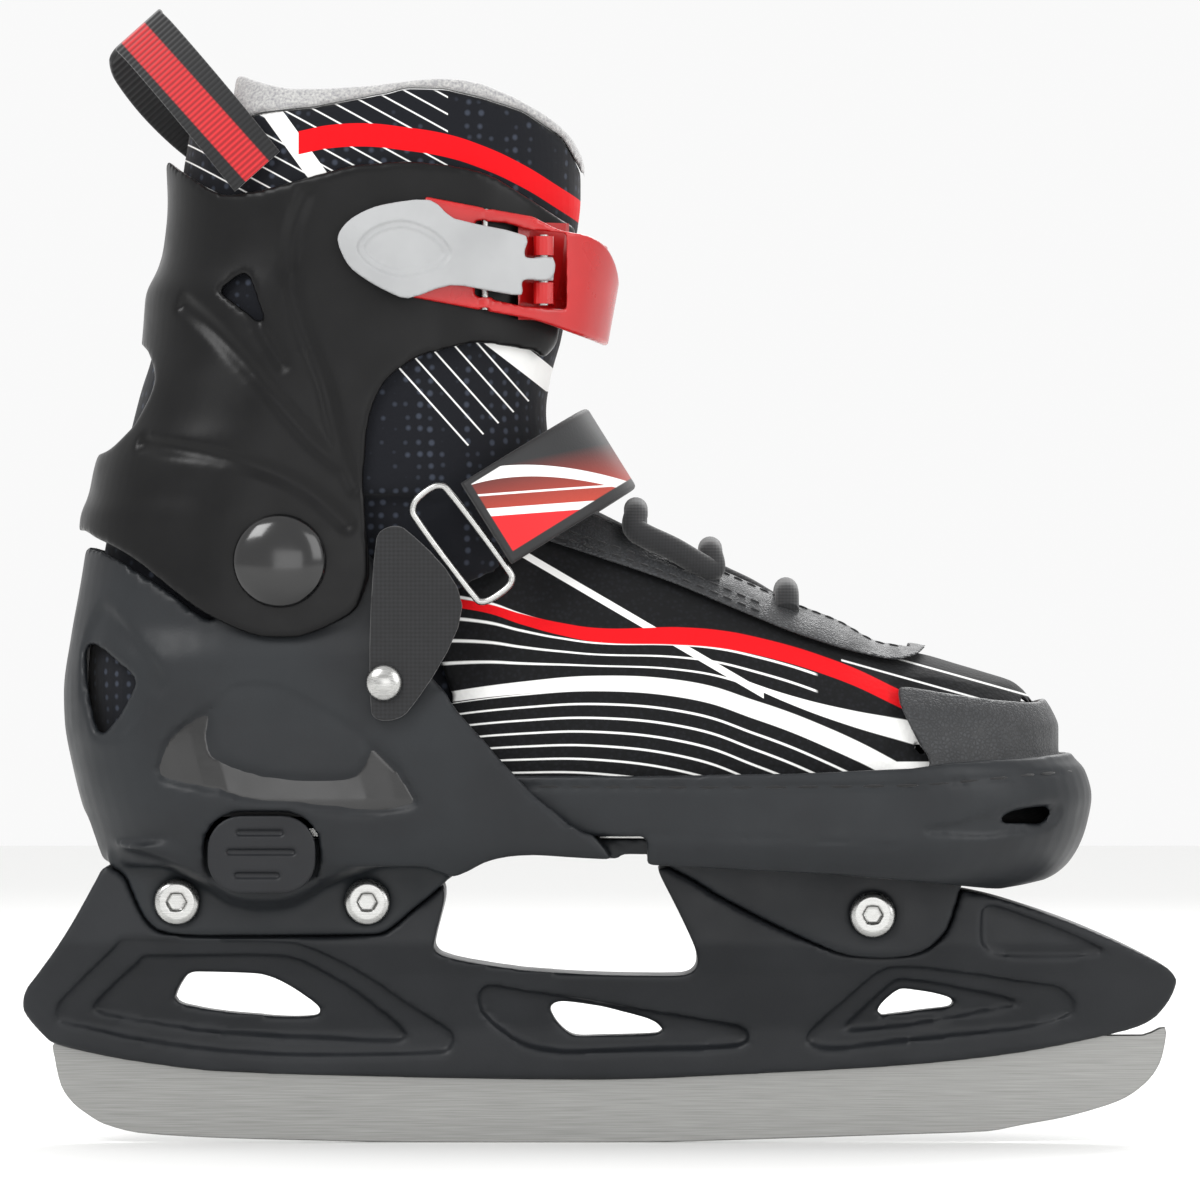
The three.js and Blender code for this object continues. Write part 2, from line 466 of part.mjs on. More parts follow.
const LACES = [[9.3, 163.2], [28.6, 153], [48.3, 142.4]].map(([x, z]) => [X(x), Z(z)]);
const EYE_Y = 19; // where the lace passes through each eyestay
const eyestayLine = points([
  [-30, 158.5], [-10.4, 155.3], [10, 148.5], [30, 140.7], [50, 132.5], [65.7, 128.5], [82, 127.1], [90, 134],
  [60, 150], [20, 168], [-12, 182]]);
const lacePath = LACES.flatMap(([x, z], i) => {
  const s = i % 2 ? -1 : 1;
  const next = LACES[i + 1];
  const over = [[EYE_Y, -4.2], [EYE_Y - 4, 0], [0, 1.4], [-EYE_Y + 4, 0], [-EYE_Y, -4.2]].map(([y, dz]) =>
    new THREE.Vector3(x, s * y, z + dz));
  const under = next ? [new THREE.Vector3((x + next[0]) / 2, -s * (EYE_Y + 1.5), (z + next[1]) / 2 - 4)] : [];
  return [...over, ...under];
});
const lace = wire(lacePath, LACE_R, 8, 36);
const laceRoom = wire(lacePath, LACE_R + CLEAR, 8, 36);
const eyestay = archSolid(UPPER_WALL, UPPER_FLOOR).subtract(archSolid(0.3, UPPER_FLOOR, [X(-55), ...archPlaces, X(119)]))
  .intersect(across(eyestayLine)).subtract(throat).subtract(laceRoom);
piece("eyestay_lateral", biggest(eyestay.intersect(lateral)), leather);
piece("eyestay_medial", biggest(eyestay.intersect(medial)), leather);
piece("upper", biggest(upper.subtract(throat).subtract(laceRoom)), fabric);
const tongueBody = archSolid(0.5, UPPER_FLOOR).subtract(archSolid(-UPPER_WALL, UPPER_FLOOR + UPPER_WALL, innerPlaces))
  .intersect(box(X(-14), X(79), -THROAT_HALF + CLEAR, THROAT_HALF - CLEAR, Z(115), FAR)).intersect(across(upperLine));
piece("tongue", biggest(tongueBody.subtract(laceRoom)), fabric);
piece("lace", lace, fabric);

// ---- ankle, cuff and liner ----------------------------------------------------------------------
const SHAFT_REAR = [[81, -125], [100, -131], [120, -133], [140, -131], [155, -128.5], [170, -125.5], [184, -122.1],
  [195, -119.3], [205, -116.3], [214, -115.4], [220, -114.9], [227, -111.8], [232, -110.4], [240, -109.3],
  [252, -108.3], [258, -107.3], [265, -106], [272, -101], [280, -96]];
const SHAFT_FRONT = [[81, -30], [140, -24], [150, -12], [165, -10], [175, -12], [190, -14], [200, -12.5], [209, -10],
  [236, -6], [245, -5], [282, -5]];
const SHAFT_SIDE = [[81, -4], [165, -4], [172, -CUFF_WALL - CLEAR], [250, -CUFF_WALL - CLEAR - 1.5], [282, -CUFF_WALL - CLEAR - 3]];
const CUFF_REAR = [[125, -138], [157, -135.5], [162.6, -135.1], [168, -133], [176, -131.3], [182, -129], [188, -125.5],
  [197, -122.3], [207, -119.2], [214, -118.6], [220, -118.1], [227, -114.9], [232, -113.5], [244, -112.4], [258, -113]];
const CUFF_FRONT = [[125, -10], [165, -8], [190, -10], [209, -7], [236, -3], [258, -2]];
const CUFF_SIDE = [[125, 0], [172, 0], [250, -1.5], [258, -1.5]];

function shaftSlice(z, g, rearTable, frontTable, sideTable) {
  const [rear, front] = [X(along(rearTable, z / Z(1))) - g, X(along(frontTable, z / Z(1))) + g];
  const half = SHAFT_HALF + along(sideTable, z / Z(1)) + g;
  return ring(z, rear, front, (x) => half * rounding(x - rear, SHAFT_ROUND) * rounding(front - x, SHAFT_ROUND), 12);
}
const linerSolid = (g, heights) => loft(heights.map((z) => shaftSlice(Z(z), g, SHAFT_REAR, SHAFT_FRONT, SHAFT_SIDE)));
const cuffSolid = (g) => loft([125, 150, 162.6, 176, 188, 207, 220, 227, 244, 258].map((z) =>
  shaftSlice(Z(z), g, CUFF_REAR, CUFF_FRONT, CUFF_SIDE)));

const cuffLine = points([
  [-114.5, 255.8], [-115.1, 252], [-120, 226], [-125, 220], [-119, 207], [-117.2, 205.8], [-114.7, 197.4], [-119.8, 186.6],
  [-127.8, 179.3], [-136, 178], [-140, 160], [-133.4, 158.6], [-126.4, 155.3], [-116, 148.7], [-104.5, 139.6], [-98.6, 136.1],
  [-87.4, 131.6], [-81.9, 131.2], [-70.7, 133.7], [-62, 139.3], [-59, 148], [-60.5, 170], [-59.2, 187], [-54.7, 197.4],
  [-46, 203.5], [-31.7, 207], [-17, 205], [-12, 206], [-6.3, 236.3], [-15, 242.2], [-29.9, 250.7], [-44.8, 253.3],
  [-63.7, 252.5], [-80.5, 248.3], [-95.8, 245.2], [-104.1, 249.3]]);
const cuffWindow = points([[-98, 220.5], [-91.5, 225], [-90, 224], [-85.3, 210.7]]);
let cuff = cuffSolid(0).subtract(cuffSolid(-CUFF_WALL)).intersect(across(cuffLine)).subtract(across(cuffWindow));
cuff = cuff.subtract(box(X(-45), FAR, -9, 9, -FAR, FAR));
for (const side of [-1, 1]) cuff = cuff.subtract(bar(...PIVOT, PIVOT_PIN_R + CLEAR, ...[0, side * FAR].sort((a, b) => a - b)));

// The liner parts in a wedge about the pivots, so the cuff can lean.
const rayAt = (degrees) => [PIVOT[0] + FAR * Math.cos(THREE.MathUtils.degToRad(degrees)),
  PIVOT[1] + FAR * Math.sin(THREE.MathUtils.degToRad(degrees))];
const SPLIT_FRONT = 25;
const SPLIT_REAR = 180;
const vee = (list) => list.map(([x, z]) => new THREE.Vector2(x, z));
const below = vee([PIVOT, rayAt(SPLIT_FRONT), [FAR, -FAR], [-FAR, -FAR], rayAt(SPLIT_REAR)]);
const above = vee([[PIVOT[0], PIVOT[1] + 2], rayAt(SPLIT_FRONT + FLEX + 1), [FAR, FAR], [-FAR, FAR], rayAt(SPLIT_REAR - LEAN - 1)]);

const linerHeights = [81, 105, 140, 165, 175, 190, 206, 220, 232, 252, 265, 282];
const footFloor = UPPER_FLOOR + UPPER_WALL + CLEAR;
const linerBottom = box(-FAR, FAR, -FAR, FAR, footFloor, FAR);
const SHELL_TOP = 168;
const insideShell = bootSolid([70, 78, 90, 110, 125, 135, SHELL_TOP].map(Z), 0)
  .add(box(-FAR, FAR, -FAR, FAR, Z(SHELL_TOP), FAR));
const clearOfUpper = archSolid(UPPER_WALL + CLEAR, UPPER_FLOOR - 1, [-48, ...archPlaces.slice(1).map((x) => x / X(1)), 119].map(X));
const ankle = linerSolid(0, linerHeights).intersect(linerBottom).intersect(insideShell).subtract(clearOfUpper);
const footOuter = archSolid(-UPPER_WALL - 0.3, footFloor, [X(-58), ...innerPlaces.slice(1, -1)]).intersect(linerBottom)
  .intersect(insideToe(UPPER_OFFSET - UPPER_WALL - 0.3));
const ankleRoom = linerSolid(-LINER_WALL, linerHeights.map((z, i) => (i ? z : footFloor / Z(1) + 4)));
const TOE_ROOM = [-52, -30, -10, 13.3, 35, 51.8, 62, 72, 83.6, 92.6, 100].map(X);
const footInner = archSolid(-UPPER_WALL - 0.3 - LINER_WALL + 2, footFloor + 4, TOE_ROOM);
const liner = ankle.add(footOuter).subtract(ankleRoom).subtract(footInner);
const pivotRoom = [-1, 1].map((s) => bar(...PIVOT, PIVOT_PIN_R + 3, ...[s * (bootHalf(...PIVOT, SHELL_CLEAR) - 2.4), s * FAR]
  .sort((a, b) => a - b)));
const clearOfPivots = (body) => body.subtract(pivotRoom[0]).subtract(pivotRoom[1]);
piece("liner_lower", biggest(clearOfPivots(liner.intersect(across(below)).subtract(buttonPocket))), fabric);
const bedFloor = footFloor + 4 + CLEAR + 0.6;
const bedOutline = bootSlice(bedFloor + FOOTBED_THICK / 2, -22.5).filter((p) => p.x > X(-108) && p.x < X(94));
const bedAt = (z) => bedOutline.map((p) => new THREE.Vector3(p.x, p.y, z));
piece("footbed", loft([bedFloor, bedFloor + FOOTBED_THICK].map(bedAt)), fleece);

const seamLine = points([[-140, 150], [-140, 262], [-106, 265], [-96, 262.5], [-87.6, 266.2], [-74, 267.4], [-54, 271.1],
  [-50, 272.3], [-40, 272.1], [-30, 269.8], [-20, 266.7], [-10, 260.4], [-5.7, 253.3], [-4, 249], [20, 240], [20, 150]]);
const collarTop = points([[-107, 266.5], [-96.2, 263.5], [-94, 276.5], [-90, 275.4], [-80, 272.5], [-60, 273], [-42.4, 275], [-30, 273.6],
  [-15, 266.7], [-7.2, 260.4], [-3.6, 253.3], [-2, 249], [30, 249], [30, 200], [-107, 200]]);
const shaft = linerSolid(0, linerHeights).subtract(linerSolid(-LINER_WALL, [80, ...linerHeights.slice(1, -1), 284]));
piece("liner_upper", biggest(clearOfPivots(shaft.intersect(across(above)).intersect(across(seamLine)).intersect(insideShell))),
  fabric);
const rolled = linerSolid(1, linerHeights).subtract(linerSolid(-LINER_WALL - 1, [80, ...linerHeights.slice(1, -1), 284]));
const collarLine = across(points([[-100, 258], [-100, 290], [20, 290], [20, 243], [-4, 249.4]])).intersect(across(collarTop));
piece("collar", biggest(rolled.intersect(collarLine).subtract(across(grow(seamLine, CLEAR)))), fleece);
const BAND_SLOPE = 0.183; // the band falls this much towards the toe
const bandZ = (x) => Z(228.3 - BAND_SLOPE * (x + 29.5));
const ladderHole = [X(-46), bandZ(-46)]; // rivet of the ladder strap, on the medial side
piece("cuff", biggest(cuff.subtract(bar(...ladderHole, RIVET_PIN_R + CLEAR, 0, FAR, 12))), cuffPlastic);

// Half width of the cuff's outside at x on a slice at height z.
function cuffHalf(x, z) {
  const slice = shaftSlice(z, 0, CUFF_REAR, CUFF_FRONT, CUFF_SIDE);
  const i = slice.findIndex((p) => p.x >= x);
  return slice[Math.max(i, 1)].y;
}

// ---- pivots and rivets --------------------------------------------------------------------------
const shellHalf = (x, z) => bootHalf(x, z, SHELL_OFFSET);
for (const [name, s] of [["lateral", -1], ["medial", 1]]) {
  const outside = s * (cuffHalf(...PIVOT) + CLEAR);
  const inside = s * (bootHalf(...PIVOT, SHELL_CLEAR) - CLEAR);
  piece(`pivot_${name}`, turned(...PIVOT, [[0, inside - s * 1.4], [PIVOT_PIN_R + 2, inside - s * 1.4], [PIVOT_PIN_R + 2, inside],
    [PIVOT_PIN_R, inside], [PIVOT_PIN_R, outside], [PIVOT_CAP_R, outside], [PIVOT_CAP_R, outside + s * 1.5],
    [PIVOT_CAP_R - 2, outside + s * 3.6], [PIVOT_CAP_R - 6, outside + s * 5], [0, outside + s * 5.4]], 24), glossBlack);
}

// A riveted fastener through a strap and a wall: domed head outside, pin down to `inner`.
function rivet(name, x, z, side, outer, inner, headRadius, sides = 18) {
  piece(name, turned(x, z, [[0, side * inner], [RIVET_PIN_R, side * inner], [RIVET_PIN_R, side * outer],
    [headRadius, side * outer], [headRadius - 0.6, side * (outer + 1.2)], [headRadius * 0.5, side * (outer + 2)],
    [0, side * (outer + 2.3)]], sides), steel);
}

// ---- instep strap, its ring and keeper ----------------------------------------------------------
const STRAP_DIR = new THREE.Vector3(X(0.85), 0, Z(0.53)).normalize();
const STRAP_ACROSS = new THREE.Vector3(-STRAP_DIR.z, 0, STRAP_DIR.x);
const keeperInner = shellHalf(X(-44), Z(112)) + CLEAR;
const keeperLine = points([[-58.5, 112], [-49.5, 112], [-35.2, 139.4], [-50.2, 159.4], [-57.2, 157]]);
const keeper = plate(keeperLine, -keeperInner - STRAP_THICK, -keeperInner).subtract(bar(...RIVET, RIVET_PIN_R + CLEAR, -FAR, 0, 12));
piece("keeper_strap", keeper, fleece);
rivet("keeper_rivet", ...RIVET, -1, keeperInner + STRAP_THICK + 0.3, shellHalf(...RIVET) - SHELL_WALL, RIVET_R);

const ringY = -keeperInner - STRAP_THICK / 2;
const ringCorners = [[-47.6, 162.6], [-31.4, 141], [-28.4, 141], [-23.4, 144.6], [-22.8, 147.6], [-39.4, 169.6], [-42.6, 170], [-47.2, 166.4]];
const ringPath = ringCorners.map(([x, z]) => new THREE.Vector3(X(x), ringY, Z(z)));
piece("strap_ring", wire(ringPath, RING_WIRE_R, 6, 32, true), steel);

const strapHalf = [[-29, 41.2], [-18, 38], [-7, 30], [0, 17.5], [2, 0]];
const strapZ = (x) => Z(161.2) + ((X(x) - X(-28)) * STRAP_DIR.z) / STRAP_DIR.x;
const strapPath = [
  ...strapHalf.map(([x, y]) => new THREE.Vector3(X(x), -y, strapZ(x))),
  ...strapHalf.slice(0, -1).reverse().map(([x, y]) => new THREE.Vector3(X(x), y, strapZ(x))),
  new THREE.Vector3(X(-42), 41.4, strapZ(-42)), new THREE.Vector3(X(-57.4), 40.2, strapZ(-57.4))];
const anchorInner = shellHalf(...ANCHOR);
piece("instep_strap", strap(strapPath, STRAP_ACROSS, STRAP_WIDTH, STRAP_THICK)
  .subtract(bar(...ANCHOR, RIVET_PIN_R + CLEAR, 0, FAR, 12)), webbing);
rivet("strap_rivet", ...ANCHOR, 1, 40.2 + STRAP_THICK / 2 + 0.6, anchorInner - SHELL_WALL, RIVET_R);

// ---- pull loop ----------------------------------------------------------------------------------
const loopLeg = [[-88, 32.6, 251], [-96, 32, 261], [-103, 27, 269.5], [-110, 19, 277.8], [-116.5, 9, 285.3], [-119.3, 4, 288.2]];
const leg = loopLeg.map(([x, y, z]) => new THREE.Vector3(X(x), -y, Z(z)));
const loopPath = [...leg, new THREE.Vector3(X(-119.9), 0, Z(288.9)), ...leg.map(mirrored).reverse()];
piece("pull_loop", strap(loopPath, new THREE.Vector3(0.75, 0, 0.67), WEB_WIDTH, WEB_THICK), webbing);

// ---- buckle -------------------------------------------------------------------------------------
const HINGE = { x: X(-14.5), y: -34, z: Z(226) }; // the lever's hinge, on an upright axis
const STRAP_PIN = { x: X(-29.5), y: -36.2 }; // where the strap hangs on the lever
const EYE_R = 1.8;
const KNUCKLE = [Z(222.8), Z(229)]; // the lever's knuckle sits between the base's two
const leverLine = points([
  [-67, 233], [-65, 237], [-61, 239.9], [-55.4, 242], [-43.5, 243.3], [-37.4, 238.6], [-18.9, 234.3], [-19.3, 228.8],
  [-12, 228.6], [-12.7, 223.2], [-19.8, 223], [-20.1, 219.2], [-28, 220.1], [-38.4, 221.5], [-49, 218.1], [-54.7, 220],
  [-60.3, 223.2], [-64.4, 226.7]]);
const LEVER_SLOPE = 0.21;
const leverInner = HINGE.y - 0.9;
const cuffAround = cuffSolid(CLEAR);
const foot = cuffSolid(CLEAR + 1.8).subtract(cuffAround).intersect(box(X(-21), X(-8), -FAR, 0, Z(213), Z(238)));
let base = biggest(foot);
for (const [z0, z1] of [[Z(217), KNUCKLE[0] - CLEAR], [KNUCKLE[1] + CLEAR, Z(234.3)]]) {
  base = base.add(box(HINGE.x - HINGE_R, HINGE.x + HINGE_R, HINGE.y, 0, z0, z1).subtract(cuffAround))
    .add(post(HINGE.x, HINGE.y, HINGE_R, z0, z1));
}
base = biggest(base.subtract(post(HINGE.x, HINGE.y, PIN_R + 0.3, 0, FAR)));
piece("buckle_base", base, redPlastic);
piece("lever_pin", post(HINGE.x, HINGE.y, PIN_R, Z(216.6), Z(234.7)), steel);

const lever = plate(leverLine, leverInner - LEVER_THICK, leverInner, LEVER_SLOPE, HINGE.x)
  .add(post(HINGE.x, HINGE.y, HINGE_R, ...KNUCKLE))
  .add(post(STRAP_PIN.x, STRAP_PIN.y, EYE_R, Z(220.4), Z(236.4)))
  .add(box(STRAP_PIN.x - EYE_R, STRAP_PIN.x + EYE_R, STRAP_PIN.y - 3, STRAP_PIN.y, Z(220.4), Z(236.4)))
  .subtract(post(HINGE.x, HINGE.y, PIN_R + 0.3, 0, FAR)).subtract(post(STRAP_PIN.x, STRAP_PIN.y, PIN_R, 0, FAR));
piece("buckle_lever", lever, leverPlastic);
piece("strap_pin", post(STRAP_PIN.x, STRAP_PIN.y, PIN_R - 0.3, Z(215.4), Z(241.2)), steel);

const BAND_WIDTH = 26;
const bandAcross = new THREE.Vector3(0.18, 0, 0.983);
const bandPath = [[-47, -39.6], [-29.5, -36.3], [-14.5, -33.3], [-5, -27.2], [0, -20], [2.6, -12], [3.2, -5]]
  .map(([x, y]) => new THREE.Vector3(X(x), y, bandZ(x)));
const bandWindow = points([[-32.1, 219], [-32.1, 238.2], [-24, 237.6], [-18, 235.9], [-8.6, 235.2], [-8.6, 215.6], [-20, 216.4]]);
let band = strap(bandPath, bandAcross, BAND_WIDTH, BAND_THICK).subtract(plate(bandWindow, -FAR, 0));
for (const z of [[Z(215.6), Z(218.8)], [Z(238.2), Z(241)]]) band = band.add(post(STRAP_PIN.x, STRAP_PIN.y, EYE_R, ...z));
piece("buckle_strap", biggest(band.subtract(post(STRAP_PIN.x, STRAP_PIN.y, PIN_R, 0, FAR))), redPlastic);

const ladderPath = [[-2.4, -16], [-0.9, -9], [-0.6, 0], [-1.4, 9], [-8, 23], [-18, 31.8], [-32, 38.4], [-50, 39.8]]
  .map(([x, y]) => new THREE.Vector3(X(x), y, bandZ(x)));
const ladder = strap(ladderPath, bandAcross, BAND_WIDTH - 6, 1.8);
piece("ladder_strap", ladder.subtract(bar(...ladderHole, RIVET_PIN_R + CLEAR, 0, FAR, 12)), redPlastic);
const ladderOuter = 40.8;
rivet("ladder_rivet", ...ladderHole, 1, ladderOuter, cuffHalf(...ladderHole) - CUFF_WALL + 0.6, RIVET_R);

export default skate;
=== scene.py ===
"""A child's adjustable ice skate, right foot: fine shells, fabric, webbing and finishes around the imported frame."""
import math

import bmesh
import bpy
import numpy as np
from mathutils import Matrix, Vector


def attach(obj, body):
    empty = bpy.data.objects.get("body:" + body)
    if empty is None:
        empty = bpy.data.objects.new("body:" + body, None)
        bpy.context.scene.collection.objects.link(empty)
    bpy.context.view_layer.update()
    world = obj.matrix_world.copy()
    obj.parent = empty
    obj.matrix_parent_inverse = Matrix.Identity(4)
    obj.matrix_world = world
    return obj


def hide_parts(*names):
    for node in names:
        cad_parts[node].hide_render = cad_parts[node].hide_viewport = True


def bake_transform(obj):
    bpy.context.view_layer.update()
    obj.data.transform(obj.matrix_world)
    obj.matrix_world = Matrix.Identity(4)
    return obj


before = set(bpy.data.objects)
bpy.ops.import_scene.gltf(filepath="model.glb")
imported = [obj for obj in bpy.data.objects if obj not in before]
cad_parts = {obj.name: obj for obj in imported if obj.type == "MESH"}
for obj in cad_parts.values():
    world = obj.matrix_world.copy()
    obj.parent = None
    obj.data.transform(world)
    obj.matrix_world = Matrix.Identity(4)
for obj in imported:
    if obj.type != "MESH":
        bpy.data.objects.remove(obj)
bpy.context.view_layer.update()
scene = bpy.context.scene
MM = 0.001

# ---- camera, lights and floor --------------------------------------------------------------------
VIEW_WIDTH = 0.312  # metres across the view at the skate
VIEW_CENTRE = Vector((0, 0, 0.1438))
VIEW_DISTANCE = 2.6
SENSOR = 36
LIGHT_AIM = Vector((0, 0, 0.13))
WORLD_STRENGTH = 0.95

camera = bpy.data.objects.new("camera", bpy.data.cameras.new("camera"))
camera.data.sensor_width = SENSOR
camera.data.lens = SENSOR * VIEW_DISTANCE / VIEW_WIDTH
camera.location = VIEW_CENTRE + Vector((0, -VIEW_DISTANCE, 0))
camera.rotation_euler = (math.pi / 2, 0, 0)
scene.collection.objects.link(camera)
scene.camera = camera


def light(name, place, size, watts):
    data = bpy.data.lights.new(name, "AREA")
    data.size = size
    data.energy = watts
    lamp = bpy.data.objects.new(name, data)
    lamp.location = place
    lamp.rotation_euler = (LIGHT_AIM - Vector(place)).to_track_quat("-Z", "Y").to_euler()
    scene.collection.objects.link(lamp)


light("key", (-0.9, -1.2, 1.3), 0.8, 17)
light("fill", (1.2, -1.0, 0.7), 1.0, 8)
light("back", (0.3, 1.2, 1.1), 0.9, 12)
light("front_low", (0.1, -1.5, 0.05), 0.7, 2.5)
world = bpy.data.worlds.new("studio")
scene.world = world
world.use_nodes = True
scene.view_settings.view_transform = "Standard"
world.node_tree.nodes["Background"].inputs[0].default_value = (1, 1, 1, 1)
world.node_tree.nodes["Background"].inputs[1].default_value = WORLD_STRENGTH


# ---- numbers and outlines ------------------------------------------------------------------------
def smooth_table(table, places):
    """Values on a smooth curve through [place, value] pairs, without overshoot."""
    x, y = np.array(table, float).T
    step = np.diff(y) / np.diff(x)
    slope = np.zeros_like(y)
    inner = step[:-1] * step[1:] > 0
    slope[1:-1] = np.where(inner, 2 * step[:-1] * step[1:] / np.where(inner, step[:-1] + step[1:], 1), 0)
    slope[0], slope[-1] = step[0], step[-1]
    at = np.clip(places, x[0], x[-1])
    i = np.clip(np.searchsorted(x, at) - 1, 0, len(x) - 2)
    h = x[i + 1] - x[i]
    t = (at - x[i]) / h
    return ((1 + 2 * t) * (1 - t) ** 2 * y[i] + t * (1 - t) ** 2 * h * slope[i]
            + t * t * (3 - 2 * t) * y[i + 1] + t * t * (t - 1) * h * slope[i + 1])


def smooth_outline(points, per=6, closed=True):
    """A centripetal-like spline through the points."""
    p = np.array(points, float)
    n = len(p)
    out = []
    for i in range(n if closed else n - 1):
        a, b, c, d = (p[(i + k) % n] if closed else p[min(max(i + k, 0), n - 1)] for k in (-1, 0, 1, 2))
        lim = np.linalg.norm(c - b)
        m0, m1 = (c - a) / 2, (d - b) / 2
        m0 = m0 * min(1, lim / (np.linalg.norm(m0) + 1e-9))
        m1 = m1 * min(1, lim / (np.linalg.norm(m1) + 1e-9))
        for t in np.arange(per) / per:
            out.append((1 + 2 * t) * (1 - t) ** 2 * b + t * (1 - t) ** 2 * m0
                       + t * t * (3 - 2 * t) * c + t * t * (t - 1) * m1)
    if not closed:
        out.append(p[-1])
    return np.array(out)


# ---- solids --------------------------------------------------------------------------------------
def mesh_object(name, points, faces):
    mesh = bpy.data.meshes.new(name)
    mesh.from_pydata([tuple(p) for p in points], [], faces)
    work = bmesh.new()
    work.from_mesh(mesh)
    bmesh.ops.remove_doubles(work, verts=work.verts, dist=1e-7)
    bmesh.ops.recalc_face_normals(work, faces=work.faces)
    work.to_mesh(mesh)
    work.free()
    made = bpy.data.objects.new(name, mesh)
    scene.collection.objects.link(made)
    return made


def loft(name, rings, closed=False):
    """A skin over rings of equal count, in millimetres; the ends are capped unless it closes on itself."""
    count, n = len(rings), len(rings[0])
    points = np.concatenate(rings) * MM
    faces = [
        (r * n + i, r * n + (i + 1) % n, (r + 1) % count * n + (i + 1) % n, (r + 1) % count * n + i)
        for r in range(count if closed else count - 1) for i in range(n)
    ]
    if not closed:
        faces += [tuple(range(n)), tuple(range((count - 1) * n, count * n))]
    return mesh_object(name, points, faces)


def plate(name, outline, y0, y1, slope=0, x0=0):
    """A side outline given thickness along Y; a slope leans it along X."""
    rings = [[(x, y + slope * (x - x0), z) for x, z in outline] for y in (y0, y1)]
    return loft(name, np.array(rings))


def lathe(name, x, z, profile, sides=64):
    """A turned piece on an axis along Y; profile is [radius, y] from axis to axis."""
    rings = []
    for r, y in profile:
        a = np.arange(sides) * 2 * math.pi / sides
        r = max(r, 1e-3)
        rings.append(np.stack([x + r * np.cos(a), np.full(sides, y), z + r * np.sin(a)], 1))
    return loft(name, rings)


def post(name, x, y, r, z0, z1, sides=40):
    """A round tool or pin along Z."""
    a = np.arange(sides) * 2 * math.pi / sides
    return loft(name, [np.stack([x + r * np.cos(a), y + r * np.sin(a), np.full(sides, z)], 1) for z in (z0, z1)])


def applied(obj):
    """Bakes the object's modifiers into its mesh."""
    depsgraph = bpy.context.evaluated_depsgraph_get()
    depsgraph.update()
    mesh = bpy.data.meshes.new_from_object(obj.evaluated_get(depsgraph))
    old = obj.data
    obj.modifiers.clear()
    obj.data = mesh
    bpy.data.meshes.remove(old)
    return obj


def boolean(obj, other, how="DIFFERENCE"):
    modifier = obj.modifiers.new("cut", "BOOLEAN")
    modifier.operation = how
    modifier.solver = "MANIFOLD"
    modifier.object = other
    applied(obj)
    bpy.data.objects.remove(other)
    return obj


def copy_of(obj):
    twin = bpy.data.objects.new(obj.name + "_copy", obj.data.copy())
    scene.collection.objects.link(twin)
    return twin


def soften(obj, voxel, rounds=3, factor=0.5):
    """Remeshes finely and rounds every edge a little, as moulding does."""
    modifier = obj.modifiers.new("remesh", "REMESH")
    modifier.mode = "VOXEL"
    modifier.voxel_size = voxel * MM
    smooth = obj.modifiers.new("smooth", "SMOOTH")
    smooth.factor = factor
    smooth.iterations = rounds
    applied(obj)
    return shade(obj)


def shade(obj):
    obj.data.shade_smooth()
    return obj


def largest(obj):
    """Keeps the biggest connected part."""
    work = bmesh.new()
    work.from_mesh(obj.data)
    left, parts = set(work.verts), []
    while left:
        stack, part = [left.pop()], []
        while stack:
            v = stack.pop()
            part.append(v)
            for e in v.link_edges:
                w = e.other_vert(v)
                if w in left:
                    left.remove(w)
                    stack.append(w)
        parts.append(part)
    parts.sort(key=len)
    bmesh.ops.delete(work, geom=[v for part in parts[:-1] for v in part], context="VERTS")
    work.to_mesh(obj.data)
    work.free()
    return obj


def piece(obj, name, material, body, *nodes, slot=None):
    obj.name = name
    obj.data.name = name
    obj.data.materials.clear()
    obj.data.materials.append(material)
    if body:
        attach(obj, body)
    if nodes:
        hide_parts(*nodes)
    return obj


# ---- the boot's plan form, as in the frame -------------------------------------------------------
REAR = [[48, -110], [66, -122], [70, -128], [85, -133.7], [97, -136.9], [110, -139.2], [117, -139.4],
        [131, -137.6], [145, -135.1], [155, -133.5], [170, -131]]
FRONT = [[66, 104], [68.2, 115], [70, 118.6], [73.4, 122.2], [78, 124.9], [83, 126.6], [90, 127.8], [97, 126],
         [101.4, 122.5], [108, 122.5], [112, 121], [116, 118.4], [119, 115.5], [128, 96]]
HEEL = [[66, -9], [71, -5], [78, -2], [90, 0], [125, 0], [135, -2.5], [170, -2.5]]
BALL = [[66, -10], [69, -6], [74, -2], [80, 0], [97, 0], [105, -1.5], [112, -4], [119, -10]]
HEEL_HALF, BALL_HALF, SHAFT_HALF = 37, 48, 38
SHELL_WALL, SHELL_CLEAR, CUFF_WALL, CAP_WALL, UPPER_WALL = 3, 0.8, 2.5, 2, 2.4
SHELL_OFFSET = SHELL_CLEAR + SHELL_WALL
CAP_OFFSET = -SHELL_WALL - 0.3
UPPER_OFFSET = -SHELL_WALL - 4
FLOOR_TOP = 79.6
HEEL_ROUND, TOE_ROUND, SHAFT_ROUND, ROUND_POWER = 42, 58, 44, 2.2
LUG_HALF, TOWER_HALF = 17.6, 14
PIVOT = (-82, 151)
FAR = 400  # past everything, for tools that cut right through
FIT = 0.4  # clearance between neighbours
ARCH_POWER = 2.2
ARCH_SIDES = 72
BALL_LEVEL = 90  # the height at which the arched upper takes the boot's width
BLEND_START, BLEND_LENGTH = 0.25, 0.47  # share of the foot's length where the heel's width passes into the ball's


def rounding(d, r):
    """1 away from an end of the plan, falling to 0 at the end itself over the length r."""
    u = np.clip((r - np.maximum(d, 0)) / r, 0, 1)
    return (1 - u ** ROUND_POWER) ** (1 / ROUND_POWER)


